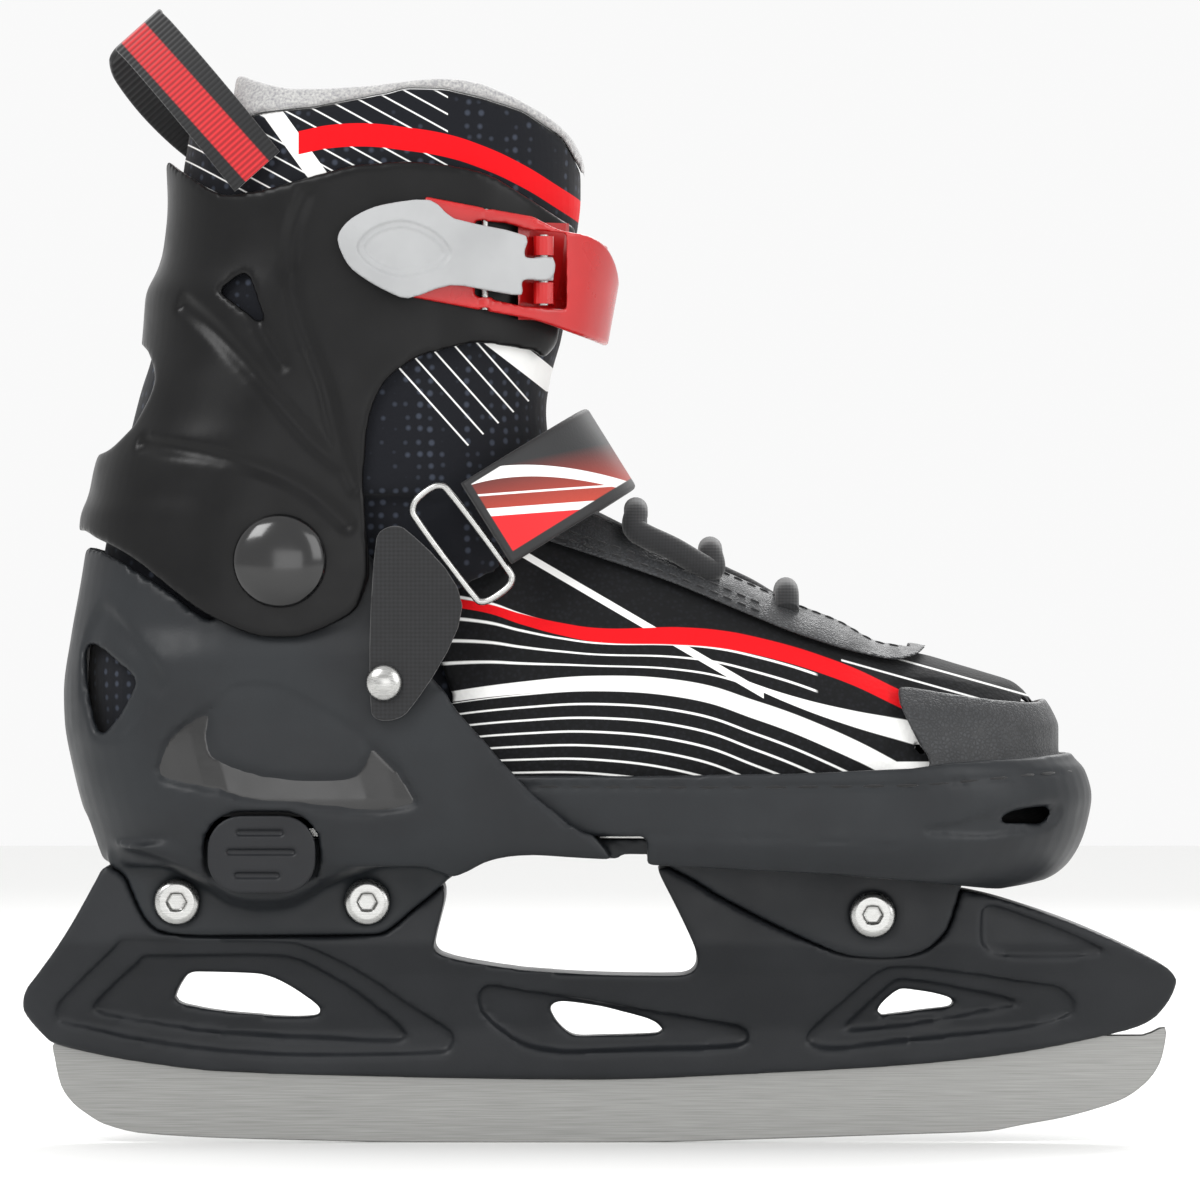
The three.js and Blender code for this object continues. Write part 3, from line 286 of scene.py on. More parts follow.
def boot_half(x, z, g):
    """Half width of the shell's room at x, z, grown by g."""
    rear = smooth_table(REAR, z) + SHELL_OFFSET - g
    front = smooth_table(FRONT, z) + g
    t = np.clip(((x - rear) / (front - rear) - BLEND_START) / BLEND_LENGTH, 0, 1)
    blend = t * t * (3 - 2 * t)
    heel = HEEL_HALF - SHELL_OFFSET + smooth_table(HEEL, z)
    ball = BALL_HALF + smooth_table(BALL, z)
    return (heel + (ball - heel) * blend + g) * rounding(x - rear, HEEL_ROUND) * rounding(front - x, TOE_ROUND)


def boot_side(x, z, g):
    """boot_half at one point, as a plain number."""
    return float(boot_half(np.float64(x), np.float64(z), g))


def plan_ring(z, rear, front, half, count=48):
    """A level ring from rear to front, with half(x) as its half width."""
    x = (rear + front) / 2 - (front - rear) / 2 * np.cos(np.pi * np.arange(count + 1) / count)
    y = np.maximum(half(x), 0.02)
    side = np.stack([x, y, np.full_like(x, z)], 1)
    return np.concatenate([side, (side * [1, -1, 1])[::-1]])


def boot_solid(name, low, high, g, step=2.0):
    """The boot's body between two heights, grown by g."""
    rings = [plan_ring(z, float(smooth_table(REAR, z)) + SHELL_OFFSET - g, float(smooth_table(FRONT, z)) + g,
                       lambda x, z=z: boot_half(x, z, g))
             for z in np.linspace(low, high, int((high - low) / step) + 2)]
    return loft(name, rings)


SHAFT_REAR = [[81, -125], [100, -131], [120, -133], [140, -131], [155, -128.5], [170, -125.5], [184, -122.1],
              [195, -119.3], [205, -116.3], [214, -115.4], [220, -114.9], [227, -111.8], [232, -110.4], [240, -109.3],
              [252, -108.3], [258, -107.3], [265, -106], [272, -101], [280, -96]]
SHAFT_FRONT = [[81, -30], [140, -24], [150, -12], [165, -10], [175, -12], [190, -14], [200, -12.5], [209, -10],
               [236, -6], [245, -5], [282, -5]]
SHAFT_SIDE = [[81, -4], [165, -4], [172, -2.9], [250, -4.4], [282, -5.9]]
CUFF_REAR = [[125, -138], [157, -135.5], [162.6, -135.1], [168, -133], [176, -131.3], [182, -129], [188, -125.5],
             [197, -122.3], [207, -119.2], [214, -118.6], [220, -118.1], [227, -114.9], [232, -113.5],
             [244, -112.4], [258, -113]]
CUFF_FRONT = [[125, -10], [165, -8], [190, -10], [209, -7], [236, -3], [258, -2]]
CUFF_SIDE = [[125, 0], [172, 0], [250, -1.5], [258, -1.5]]


SHAFT = (SHAFT_REAR, SHAFT_FRONT, SHAFT_SIDE)
CUFF = (CUFF_REAR, CUFF_FRONT, CUFF_SIDE)


def shaft_walls(z, tables, g):
    """Rear, front and half width at height z, grown by g."""
    rear, front = float(smooth_table(tables[0], z)) - g, float(smooth_table(tables[1], z)) + g
    return rear, front, SHAFT_HALF + float(smooth_table(tables[2], z)) + g


def ends_rounded(x, rear, front, wide, r=SHAFT_ROUND):
    return wide * rounding(x - rear, r) * rounding(front - x, r)


def shaft_solid(name, low, high, g, tables=SHAFT, step=2.0):
    """The ankle's body (the liner's, or the cuff's with its own tables) between two heights, grown by g."""
    rings = []
    for z in np.linspace(low, high, int((high - low) / step) + 2):
        walls = shaft_walls(z, tables, g)
        rings.append(plan_ring(z, *walls[:2], lambda x: ends_rounded(x, *walls)))
    return loft(name, rings)


TOP = [[-60, 182], [-40, 176], [-10, 167.5], [13.3, 156.6], [35, 146.4], [51.8, 138.6], [62, 134.4], [72, 128.9],
       [83.6, 127], [92.6, 124.4], [100, 122.2], [108, 119.5], [113, 115.5], [116, 110], [118, 103]]
WAIST = 97
RACK_TOP = FLOOR_TOP + FIT + 2  # the hidden size rack lies under the upper
UPPER_FLOOR = RACK_TOP + FIT


def arch_solid(name, g, floor, start=-50, end=118):
    """The arched body of the foot, g outside the upper's surface."""
    rings = []
    for x in np.concatenate([np.arange(start, 96, 2.5), np.arange(96, end, 1.2), [end]]):
        half = max(boot_side(x, BALL_LEVEL, UPPER_OFFSET) + g, 0.5)
        top = float(smooth_table(TOP, x)) + g
        a = np.arange(ARCH_SIDES) * 2 * math.pi / ARCH_SIDES
        c, s = np.cos(a), np.sin(a)
        power = np.where(s >= 0, 2 / ARCH_POWER, 0.5)
        rise = np.where(s >= 0, top - WAIST, WAIST - floor)
        rings.append(np.stack([np.full(ARCH_SIDES, x), half * np.sign(c) * np.abs(c) ** (2 / ARCH_POWER),
                               WAIST + rise * np.sign(s) * np.abs(s) ** power], 1))
    return loft(name, rings)


# ---- outlines, side view, millimetres ------------------------------------------------------------
HEEL_SHELL = [[-127.1, 72.9], [-129.1, 74.5], [-132.6, 84.6], [-142, 100], [-142, 131], [-136.5, 152],
              [-134.6, 154], [-131.3, 154.6], [-126.4, 152.5], [-120.2, 149], [-109.7, 142.4], [-98.6, 135.1],
              [-97.5, 151], [-93, 161], [-82, 166], [-71, 161], [-66, 150], [-60, 154], [-53, 141.2],
              [-49.8, 133.3], [-46.3, 126.4], [-42.8, 120.8], [-40, 118], [-37.3, 113.5], [-28.3, 103.4],
              [-18.7, 92.9], [-9.3, 85], [-4.4, 81.6], [-1.8, 81.1], [3, 75], [4.4, 74.5], [-9.6, 75.2],
              [-16.8, 75.6], [-24, 75.1], [-30, 73.5], [-37.7, 69.7], [-45, 72.4], [-120, 72.4]]
SHELL_WINDOW = [[-131.3, 129.9], [-119.6, 121], [-119.6, 118.7], [-122.9, 112.4], [-126.4, 107.9], [-128.9, 106.2],
                [-131.3, 114.5], [-132.3, 121.5]]
WINDOW_RELIEF = [[-129.9, 138.9], [-127.8, 139.7], [-125.7, 138.5], [-120.2, 132.6], [-115.3, 127.1], [-111.4, 121.8],
                 [-111.4, 119.4], [-113.9, 115.9], [-120.2, 108.3], [-125, 104.8], [-129.9, 105.8], [-134.4, 119.4],
                 [-133, 131.2]]
REAR_LUG = [[-126.7, 76], [-126.7, 72.6], [-123, 70], [-120.9, 65.7], [-118.7, 60.6], [-115.8, 56.6], [-112, 54.9],
            [-100, 54.2], [-57.4, 54.6], [-53.7, 56.3], [-50, 59.6], [-45, 63.6], [-38.5, 69.4], [-34, 76]]
FRONT_LUG = [[15, 76.4], [17.6, 72.3], [24.3, 68.6], [30, 65], [40, 59.6], [50, 54.7], [60, 50.4], [65, 49],
             [71.6, 48.3], [77.3, 48.6], [83, 50], [87.3, 52.9], [90, 56.5], [91.5, 60.8], [93, 65.8], [94, 76.4]]
POD = [[-114.2, 97.9], [-113.2, 102], [-109.7, 107.6], [-104.8, 111], [-100, 114.5], [-94.4, 118.9], [-88.8, 120],
       [-83.2, 119.3], [-77.7, 117.2], [-70, 112.7], [-63, 108.5], [-58.9, 105], [-50.5, 96.5], [-46.6, 90.5],
       [-45.7, 88.7], [-50, 86.9], [-60, 86], [-77.8, 87.8], [-90, 88.8], [-98.6, 91.3], [-109.9, 93.7], [-113.5, 95]]
POD_FACE = [[-100, 104.8], [-99.7, 108.9], [-97.9, 114.5], [-94.4, 116.9], [-88.8, 118], [-83.2, 117.3],
            [-77.7, 115.2], [-70, 110.7], [-63, 106.5], [-59.9, 104.4], [-60.3, 100.6], [-62.7, 97.1], [-65, 96.1],
            [-80.5, 96.1], [-90.2, 97.9], [-98.6, 101.4]]
CUFF_EDGE = [[-114.5, 255.8], [-115.1, 252], [-120, 226], [-125, 220], [-119, 207], [-117.2, 205.8], [-114.7, 197.4],
             [-119.8, 186.6], [-122.1, 184], [-127.8, 179.3], [-136, 178], [-140, 160], [-133.4, 158.9],
             [-130.1, 156.9], [-126.4, 155.3], [-120.2, 151.8], [-116, 148.7], [-104.5, 139.6], [-98.6, 136.1],
             [-93, 133.4], [-87.4, 131.6], [-81.9, 131.2], [-76.3, 131.6], [-70.7, 133.7], [-65.1, 136.5],
             [-62, 139.3], [-59.2, 146.6], [-59, 150.8], [-60.5, 170], [-60, 180], [-59.2, 187], [-57.5, 192.6],
             [-54.7, 197.4], [-50.5, 200.9], [-46, 203.5], [-41.8, 204.7], [-31.7, 207], [-22, 205.8], [-17, 205],
             [-14.4, 203.5], [-11.4, 207], [-10.8, 209.4], [-6.3, 236.3], [-10.2, 239.2], [-19.8, 245.2],
             [-29.9, 250.7], [-44.8, 253.3], [-55.4, 253.3], [-63.7, 252.5], [-75.2, 249.4], [-86, 246.5],
             [-95.8, 245.2], [-100, 246.5], [-104.1, 249.3], [-108.3, 252], [-112.5, 255.2]]
CUFF_WINDOW = [[-98, 220.5], [-91.5, 225], [-90, 224], [-85.3, 210.7]]
TOE_EDGE = [[-44, 82], [-44, 95.8], [10, 96], [50, 96.7], [80, 98], [90, 99.4], [110, 100.5], [121.3, 101.4],
            [124, 100.9], [140, 99], [140, 60], [12, 60], [12, 80.4], [-40, 80.4]]
VENT = [[101.7, 84.4], [104.4, 86.4], [109.3, 87.5], [115.4, 87.9], [115.8, 86.8], [113.6, 83.9], [109.3, 83.7],
        [102.9, 83.9]]
VENT_RELIEF = [[82, 82.9], [91.5, 84.5], [102, 87], [112, 88.8], [118.3, 88.6], [118.9, 86.8], [117, 83.4],
               [113, 81.8], [102, 80.4], [91.5, 80.4], [84, 81]]
CAP_EDGE = [[74, 88], [84.5, 98.7], [81.8, 103.9], [77.8, 111.9], [76.3, 116.4], [76.9, 118.4], [79.2, 118.6],
            [90, 116.9], [100, 115.5], [110, 114.6], [114.1, 114.9], [117, 116.5], [140, 108], [140, 88]]
EYESTAY = [[-54, 176], [-50, 179.5], [-40, 182.6], [-12, 178], [20, 166], [60, 150], [90, 134], [84.5, 129],
           [82, 127.1], [76, 125.6], [65.7, 127.6], [60, 129.2], [50, 132.5], [40, 136.5], [30, 140.7], [20, 144.9],
           [10, 148.5], [0, 151.8], [-10.4, 155.3], [-28, 161], [-44, 168]]
HOLDER = [[-127.6, 72.2], [-130, 69], [-135, 59.9], [-140, 51.8], [-146.4, 43.1], [-148.8, 39.8], [-149.6, 35.6],
          [-148.2, 32.5], [-145, 28.8], [-141.7, 25.9], [-130, 23], [-120, 21.2], [-100, 18.7], [-60, 17.3],
          [0, 16.4], [40, 18], [80, 20.3], [110, 23.7], [135.7, 29.1], [142.8, 31.9], [147.1, 36.6], [149.3, 41.9],
          [147.9, 44.8], [145, 46.9], [134.3, 52.3], [120, 58.3], [104.3, 63.5], [96, 65.5], [80, 68.2], [60, 69.6],
          [16, 72], [15, 71], [20, 61], [24.3, 51.7], [25.2, 47.7], [24.3, 45], [21, 43.8], [0, 44], [-20, 45.3],
          [-34.8, 47.5], [-40, 48.8], [-42.4, 50], [-42.9, 51.7], [-42.1, 55.6], [-40, 66.5], [-46, 70.5],
          [-100, 71.5]]
HOLDER_HOLES = [
    [[-110.3, 37.3], [-109.6, 39.8], [-107, 43.9], [-104.8, 44.6], [-88.8, 44.1], [-84.4, 42.9], [-80, 40.6],
     [-75.6, 37.6], [-72.7, 35.1], [-72.6, 33.3], [-80, 32.8], [-90, 33.5], [-100, 34.5], [-109.2, 36.4]],
    [[-13.1, 35.1], [-12.2, 36.4], [-9.6, 36.9], [0, 35.6], [6.4, 34], [13, 32.1], [16.3, 29.8], [15.3, 28.5],
     [0, 28], [-6.9, 28.1], [-10.9, 31.1]],
    [[71.9, 34.4], [73, 36.2], [77.3, 39.9], [80.8, 39.9], [87.9, 38.7], [93.5, 36.6], [92.6, 35.6], [84.4, 34.6],
     [77.3, 33.7], [73, 33.2]]]
# pressed pockets of the holder, each with its depth
POCKETS = [
    (1.6, [[-123.8, 53.3], [-126, 50.8], [-140, 36.9], [-141.1, 34], [-139.9, 31.5], [-130, 29.1], [-110, 25.3],
           [-90, 23.2], [-70, 22.7], [-41.3, 23.3], [-38.4, 24.9], [-38.4, 28.9], [-50, 36.6], [-60, 43.5], [-70, 49],
           [-80, 52.6], [-119.4, 53.4]]),
    (3.2, [[-118, 49], [-120, 47], [-131, 36.5], [-131, 34], [-120, 31.5], [-100, 28.7], [-70, 27], [-50, 27],
           [-60, 37.3], [-70, 43.9], [-81.5, 48.9], [-115.8, 48.9]]),
    (2.2, [[-30.8, 34.5], [-23.5, 27.8], [-17, 24.8], [-9.6, 23.7], [14.3, 24.3], [34, 25.1], [38.5, 26.8], [37.5, 30],
           [27.6, 32.1], [7.7, 35.4], [-5.6, 37.8], [-19, 39.7], [-30, 41]]),
    (1.6, [[53.4, 27.6], [62.3, 36.5], [70, 43.3], [73.7, 45.5], [78.7, 46.2], [90, 45.1], [110, 42.2], [118.6, 40.8],
           [121.8, 38.7], [123.2, 35.5], [121.5, 33], [110, 29.8], [90, 27.8], [70, 25.4], [58.7, 24.3]]),
    (3.2, [[62.3, 29.1], [75.8, 42.2], [79.4, 42.8], [90, 41.2], [108.6, 37.2], [109, 35.8], [100, 34], [80, 30.3],
           [65.2, 29.1]]),
    (1.8, [[100, 62.2], [98.3, 56.5], [98.7, 52.2], [100.4, 50.1], [102.9, 48.8], [113, 48], [122, 48.3],
           [130.7, 49.8], [126, 52.9], [112, 58.6]])]
BOLTS = {"rear": (-109.3, 63), "mid": (-60.1, 63), "front": (70.4, 59.7)}
BUTTON = (-86.8, 75.7, 27.7, 19.9, 8.5)


def rounded(cx, cz, w, h, r, n=8):
    """A rectangle with round corners."""
    corners = [(1, 1, 0), (-1, 1, 90), (-1, -1, 180), (1, -1, 270)]
    return [(cx + sx * (w / 2 - r) + r * math.cos(math.radians(a + 90 * i / n)),
             cz + sz * (h / 2 - r) + r * math.sin(math.radians(a + 90 * i / n)))
            for sx, sz, a in corners for i in range(n + 1)]


def grown(outline, d):
    """The outline moved outwards by d, or inwards where d is negative."""
    p = np.array(outline, float)
    area = np.sum(p[:, 0] * np.roll(p[:, 1], -1) - np.roll(p[:, 0], -1) * p[:, 1])
    side = np.roll(p, -1, 0) - np.roll(p, 1, 0)
    side /= np.linalg.norm(side, axis=1)[:, None]
    return p + np.sign(area) * d * np.stack([side[:, 1], -side[:, 0]], 1)


# ---- materials -----------------------------------------------------------------------------------
def linear(value):
    """An sRGB hex colour as a linear RGBA tuple."""
    out = []
    for shift in (16, 8, 0):
        c = ((value >> shift) & 255) / 255
        out.append(c / 12.92 if c <= 0.04045 else ((c + 0.055) / 1.055) ** 2.4)
    return (*out, 1)


def add(tree, kind, settings=None, **inputs):
    """Adds a node; an input is a value or another node's output socket."""
    node = tree.nodes.new(kind)
    for key, value in (settings or {}).items():
        setattr(node, key, value)
    for key, value in inputs.items():
        numbered = key[0] == "i" and key[1:].isdigit()
        socket = node.inputs[int(key[1:]) if numbered else key.replace("_", " ")]
        if isinstance(value, bpy.types.NodeSocket):
            tree.links.new(value, socket)
        else:
            socket.default_value = value
    return node


def start(name, rough, metallic=0.0, colour=None, **extra):
    """A new material: its tree, its shader and the Object coordinates in millimetres."""
    made = bpy.data.materials.new(name)
    made.use_nodes = True
    tree = made.node_tree
    shader = tree.nodes["Principled BSDF"]
    shader.inputs["Roughness"].default_value = rough
    shader.inputs["Metallic"].default_value = metallic
    for key, value in extra.items():
        shader.inputs[key.replace("_", " ")].default_value = value
    if colour is not None:
        shader.inputs["Base Color"].default_value = linear(colour)
    place = add(tree, "ShaderNodeTexCoord").outputs["Object"]
    mm = add(tree, "ShaderNodeVectorMath", {"operation": "SCALE"}, i0=place, Scale=1000.0).outputs[0]
    return made, tree, shader, mm


def maths(tree, how, a, b=0.0, c=0.0, clamp=False):
    return add(tree, "ShaderNodeMath", {"operation": how, "use_clamp": clamp}, i0=a, i1=b, i2=c).outputs[0]


def mix(tree, factor, a, b):
    node = add(tree, "ShaderNodeMix", {"data_type": "RGBA"}, i0=factor)
    for socket, value in ((node.inputs[6], a), (node.inputs[7], b)):
        if isinstance(value, bpy.types.NodeSocket):
            tree.links.new(value, socket)
        else:
            socket.default_value = linear(value)
    return node.outputs[2]


def noise(tree, mm, scale, detail=3.0):
    return add(tree, "ShaderNodeTexNoise", Vector=mm, Scale=scale, Detail=detail).outputs["Fac"]


def bump(tree, shader, height, strength, distance):
    node = add(tree, "ShaderNodeBump", Strength=strength, Distance=distance, Height=height)
    tree.links.new(node.outputs[0], shader.inputs["Normal"])


def spread(tree, value, low, high, to_low, to_high):
    return add(tree, "ShaderNodeMapRange", i0=value, i1=low, i2=high, i3=to_low, i4=to_high).outputs[0]


def dot(tree, a, b):
    return add(tree, "ShaderNodeVectorMath", {"operation": "DOT_PRODUCT"}, i0=a, i1=b).outputs["Value"]


def paint(tree, shader, colour):
    tree.links.new(colour, shader.inputs["Base Color"])


def roughen(tree, shader, value, low, high):
    """Roughness that follows a noise between two values."""
    tree.links.new(spread(tree, value, 0.3, 0.7, low, high), shader.inputs["Roughness"])


def moulded(name, colour, lighter, rough, grain=1.4, height=0.00006, coat=0.0, shine=0.3):
    """Injection-moulded plastic: an even spark-eroded grain, slight shade changes and polish where it is handled."""
    made, tree, shader, mm = start(name, rough, Coat_Weight=coat, Coat_Roughness=0.2, Specular_IOR_Level=shine)
    cloud = noise(tree, mm, 0.035, 4.0)
    paint(tree, shader, mix(tree, spread(tree, cloud, 0.35, 0.65, 0.0, 1.0), colour, lighter))
    fine = noise(tree, mm, grain, 2.0)
    roughen(tree, shader, noise(tree, mm, 0.09), rough - 0.06, rough + 0.07)
    bump(tree, shader, fine, 0.35, height)
    return made


def woven(name, colour, dark, rough=0.85, pitch=0.9, sheen=0.3):
    """Woven cloth: crossing threads at their real pitch, and a soft sheen."""
    made, tree, shader, mm = start(name, rough, Sheen_Weight=sheen, Sheen_Roughness=0.5)
    split = add(tree, "ShaderNodeSeparateXYZ", i0=mm).outputs
    turn = 2 * math.pi / pitch
    a = maths(tree, "SINE", maths(tree, "MULTIPLY", maths(tree, "ADD", split[0], split[2]), turn))
    b = maths(tree, "SINE", maths(tree, "MULTIPLY", maths(tree, "SUBTRACT", split[0], split[2]), turn))
    weave = maths(tree, "MULTIPLY_ADD", maths(tree, "MULTIPLY", a, b), 0.5, 0.5)
    tone = maths(tree, "MULTIPLY", weave, spread(tree, noise(tree, mm, 0.3), 0.2, 0.8, 0.7, 1.1))
    paint(tree, shader, mix(tree, tone, dark, colour))
    bump(tree, shader, weave, 0.5, 0.00015)
    return made


def leather(name, colour, dark):
    """Coated synthetic leather: small pebbles with darker creases between them."""
    made, tree, shader, mm = start(name, 0.5, Sheen_Weight=0.1)
    cells = add(tree, "ShaderNodeTexVoronoi", {"feature": "DISTANCE_TO_EDGE"}, Vector=mm, Scale=0.95)
    pebble = spread(tree, cells.outputs["Distance"], 0.0, 0.28, 0.0, 1.0)
    paint(tree, shader, mix(tree, pebble, dark, colour))
    roughen(tree, shader, noise(tree, mm, 0.15), 0.42, 0.6)
    bump(tree, shader, pebble, 0.5, 0.00018)
    return made


def fleece(name, colour, dark):
    """Brushed fleece: a deep uneven pile with a strong sheen."""
    made, tree, shader, mm = start(name, 0.95, Sheen_Weight=0.6, Sheen_Roughness=0.7)
    pile = noise(tree, mm, 1.5, 6.0)
    paint(tree, shader, mix(tree, spread(tree, pile, 0.3, 0.7, 0.0, 1.0), dark, colour))
    bump(tree, shader, pile, 0.8, 0.0004)
    return made


def metal(name, colour, darker, rough, along=(0.02, 1.5, 1.5), depth=0.00002):
    """Steel with the fine lines that grinding or plating leaves."""
    made, tree, shader, mm = start(name, rough, 1.0)
    lines = add(tree, "ShaderNodeVectorMath", {"operation": "MULTIPLY"}, i0=mm, i1=along).outputs[0]
    streak = noise(tree, lines, 3.0, 4.0)
    paint(tree, shader, mix(tree, spread(tree, streak, 0.3, 0.7, 0.0, 1.0), darker, colour))
    roughen(tree, shader, streak, rough - 0.06, rough + 0.1)
    bump(tree, shader, streak, 0.3, depth)
    return made


def curve_of(tree, x, table):
    """z on a smooth curve over x, both in millimetres."""
    low_x, high_x = table[0][0], table[-1][0]
    values = [v for _, v in table]
    low, high = min(values) - 1, max(values) + 1
    node = tree.nodes.new("ShaderNodeFloatCurve")
    curve = node.mapping.curves[0]
    spots = [((a - low_x) / (high_x - low_x), (v - low) / (high - low)) for a, v in table]
    curve.points[0].location, curve.points[1].location = spots[0], spots[-1]
    for spot in spots[1:-1]:
        curve.points.new(*spot)
    node.mapping.update()
    tree.links.new(spread(tree, x, low_x, high_x, 0.0, 1.0), node.inputs["Value"])
    return spread(tree, node.outputs[0], 0.0, 1.0, low, high)


def within(tree, value, low, high, soft=0.12):
    """1 between two limits, 0 outside."""
    a = maths(tree, "MULTIPLY", maths(tree, "SUBTRACT", value, low), 1 / soft, clamp=True)
    b = maths(tree, "MULTIPLY", maths(tree, "SUBTRACT", high, value), 1 / soft, clamp=True)
    return maths(tree, "MULTIPLY", a, b)


WHITE, RED = 0xEDEDEB, 0xD6000E


def upper_cloth():
    """Black textile with a printed red wave, a white wave and fine white contour lines."""
    made, tree, shader, mm = start("printed_mesh_cloth", 0.75, Sheen_Weight=0.05, Specular_IOR_Level=0.2)
    split = add(tree, "ShaderNodeSeparateXYZ", i0=mm).outputs
    x, z = split[0], split[2]
    dots = add(tree, "ShaderNodeTexVoronoi", Vector=mm, Scale=0.75).outputs["Distance"]
    base = mix(tree, spread(tree, dots, 0.1, 0.5, 0.0, 1.0), 0x121317, 0x07080A)

    white_mid = curve_of(tree, x, [[-45, 115], [-20, 118.4], [0, 119.7], [20, 118.4], [40, 112.8], [60, 105],
                                   [76, 97]])
    under = maths(tree, "SUBTRACT", white_mid, z)
    steeper = maths(tree, "MULTIPLY", maths(tree, "ADD", x, 40), 0.012)
    pitch = maths(tree, "ADD", 3.1, steeper)
    ribs = maths(tree, "FRACT", maths(tree, "DIVIDE", under, pitch))
    low = maths(tree, "MULTIPLY", within(tree, ribs, 0.42, 0.62, 0.05), within(tree, under, 1.6, 60))
    low = maths(tree, "MULTIPLY", low, within(tree, x, -60, 66, 1))
    red_mid = curve_of(tree, x, [[-45, 141], [-30, 139], [-20, 136], [-10, 133.5], [0, 131.9], [20, 131.7], [30, 131],
                                 [40, 129.2], [60, 123.3], [76, 116.1], [84, 112]])
    over = maths(tree, "SUBTRACT", z, white_mid)
    span = maths(tree, "MAXIMUM", maths(tree, "SUBTRACT", red_mid, white_mid), 1.0)
    share = maths(tree, "MULTIPLY", maths(tree, "DIVIDE", over, span), 4.2)
    upper_ribs = within(tree, maths(tree, "FRACT", share), 0.4, 0.59, 0.05)
    high = maths(tree, "MULTIPLY", upper_ribs, within(tree, share, 1.0, 4.6, 0.05))
    high = maths(tree, "MULTIPLY", high, within(tree, x, -60, 56, 1))
    slant = maths(tree, "MULTIPLY_ADD", x, -0.584, 141.3)
    slant_mask = within(tree, maths(tree, "SUBTRACT", z, slant), -1.1, 1.1)
    slant_mask = maths(tree, "MULTIPLY", slant_mask, within(tree, x, -22, 42))
    wedge_mid = curve_of(tree, x, [[36, 120.5], [50, 115], [64, 110.8], [80, 107], [86, 105.4]])
    wedge_half = maths(tree, "MULTIPLY", maths(tree, "SUBTRACT", x, 30), 0.062)
    wedge = within(tree, maths(tree, "DIVIDE", maths(tree, "SUBTRACT", z, wedge_mid), wedge_half), -1, 1, 0.1)
    wedge = maths(tree, "MULTIPLY", wedge, within(tree, x, 36, 90))
    toe_lines = maths(tree, "FRACT", maths(tree, "DIVIDE", maths(tree, "MULTIPLY_ADD", x, 0.28, z), 4.4))
    toe_mask = maths(tree, "MULTIPLY", within(tree, toe_lines, 0.4, 0.55, 0.05), within(tree, x, 62, 112))
    toe_mask = maths(tree, "MULTIPLY", toe_mask, within(tree, maths(tree, "SUBTRACT", z, red_mid), 2.5, 40))
    colour = mix(tree, maths(tree, "MAXIMUM", maths(tree, "MAXIMUM", low, high), toe_mask), base, WHITE)
    half = spread(tree, x, -39, 60, 1.4, 2.7)
    colour = mix(tree, within(tree, maths(tree, "DIVIDE", over, half), -1, 1, 0.1), colour, WHITE)
    colour = mix(tree, wedge, colour, WHITE)
    colour = mix(tree, slant_mask, colour, WHITE)
    red_half = spread(tree, x, -30, 20, 1.2, 2.4)
    red_off = maths(tree, "DIVIDE", maths(tree, "SUBTRACT", z, red_mid), red_half)
    paint(tree, shader, mix(tree, within(tree, red_off, -1, 1, 0.1), colour, RED))
    bump(tree, shader, dots, 0.5, 0.0002)
    return made


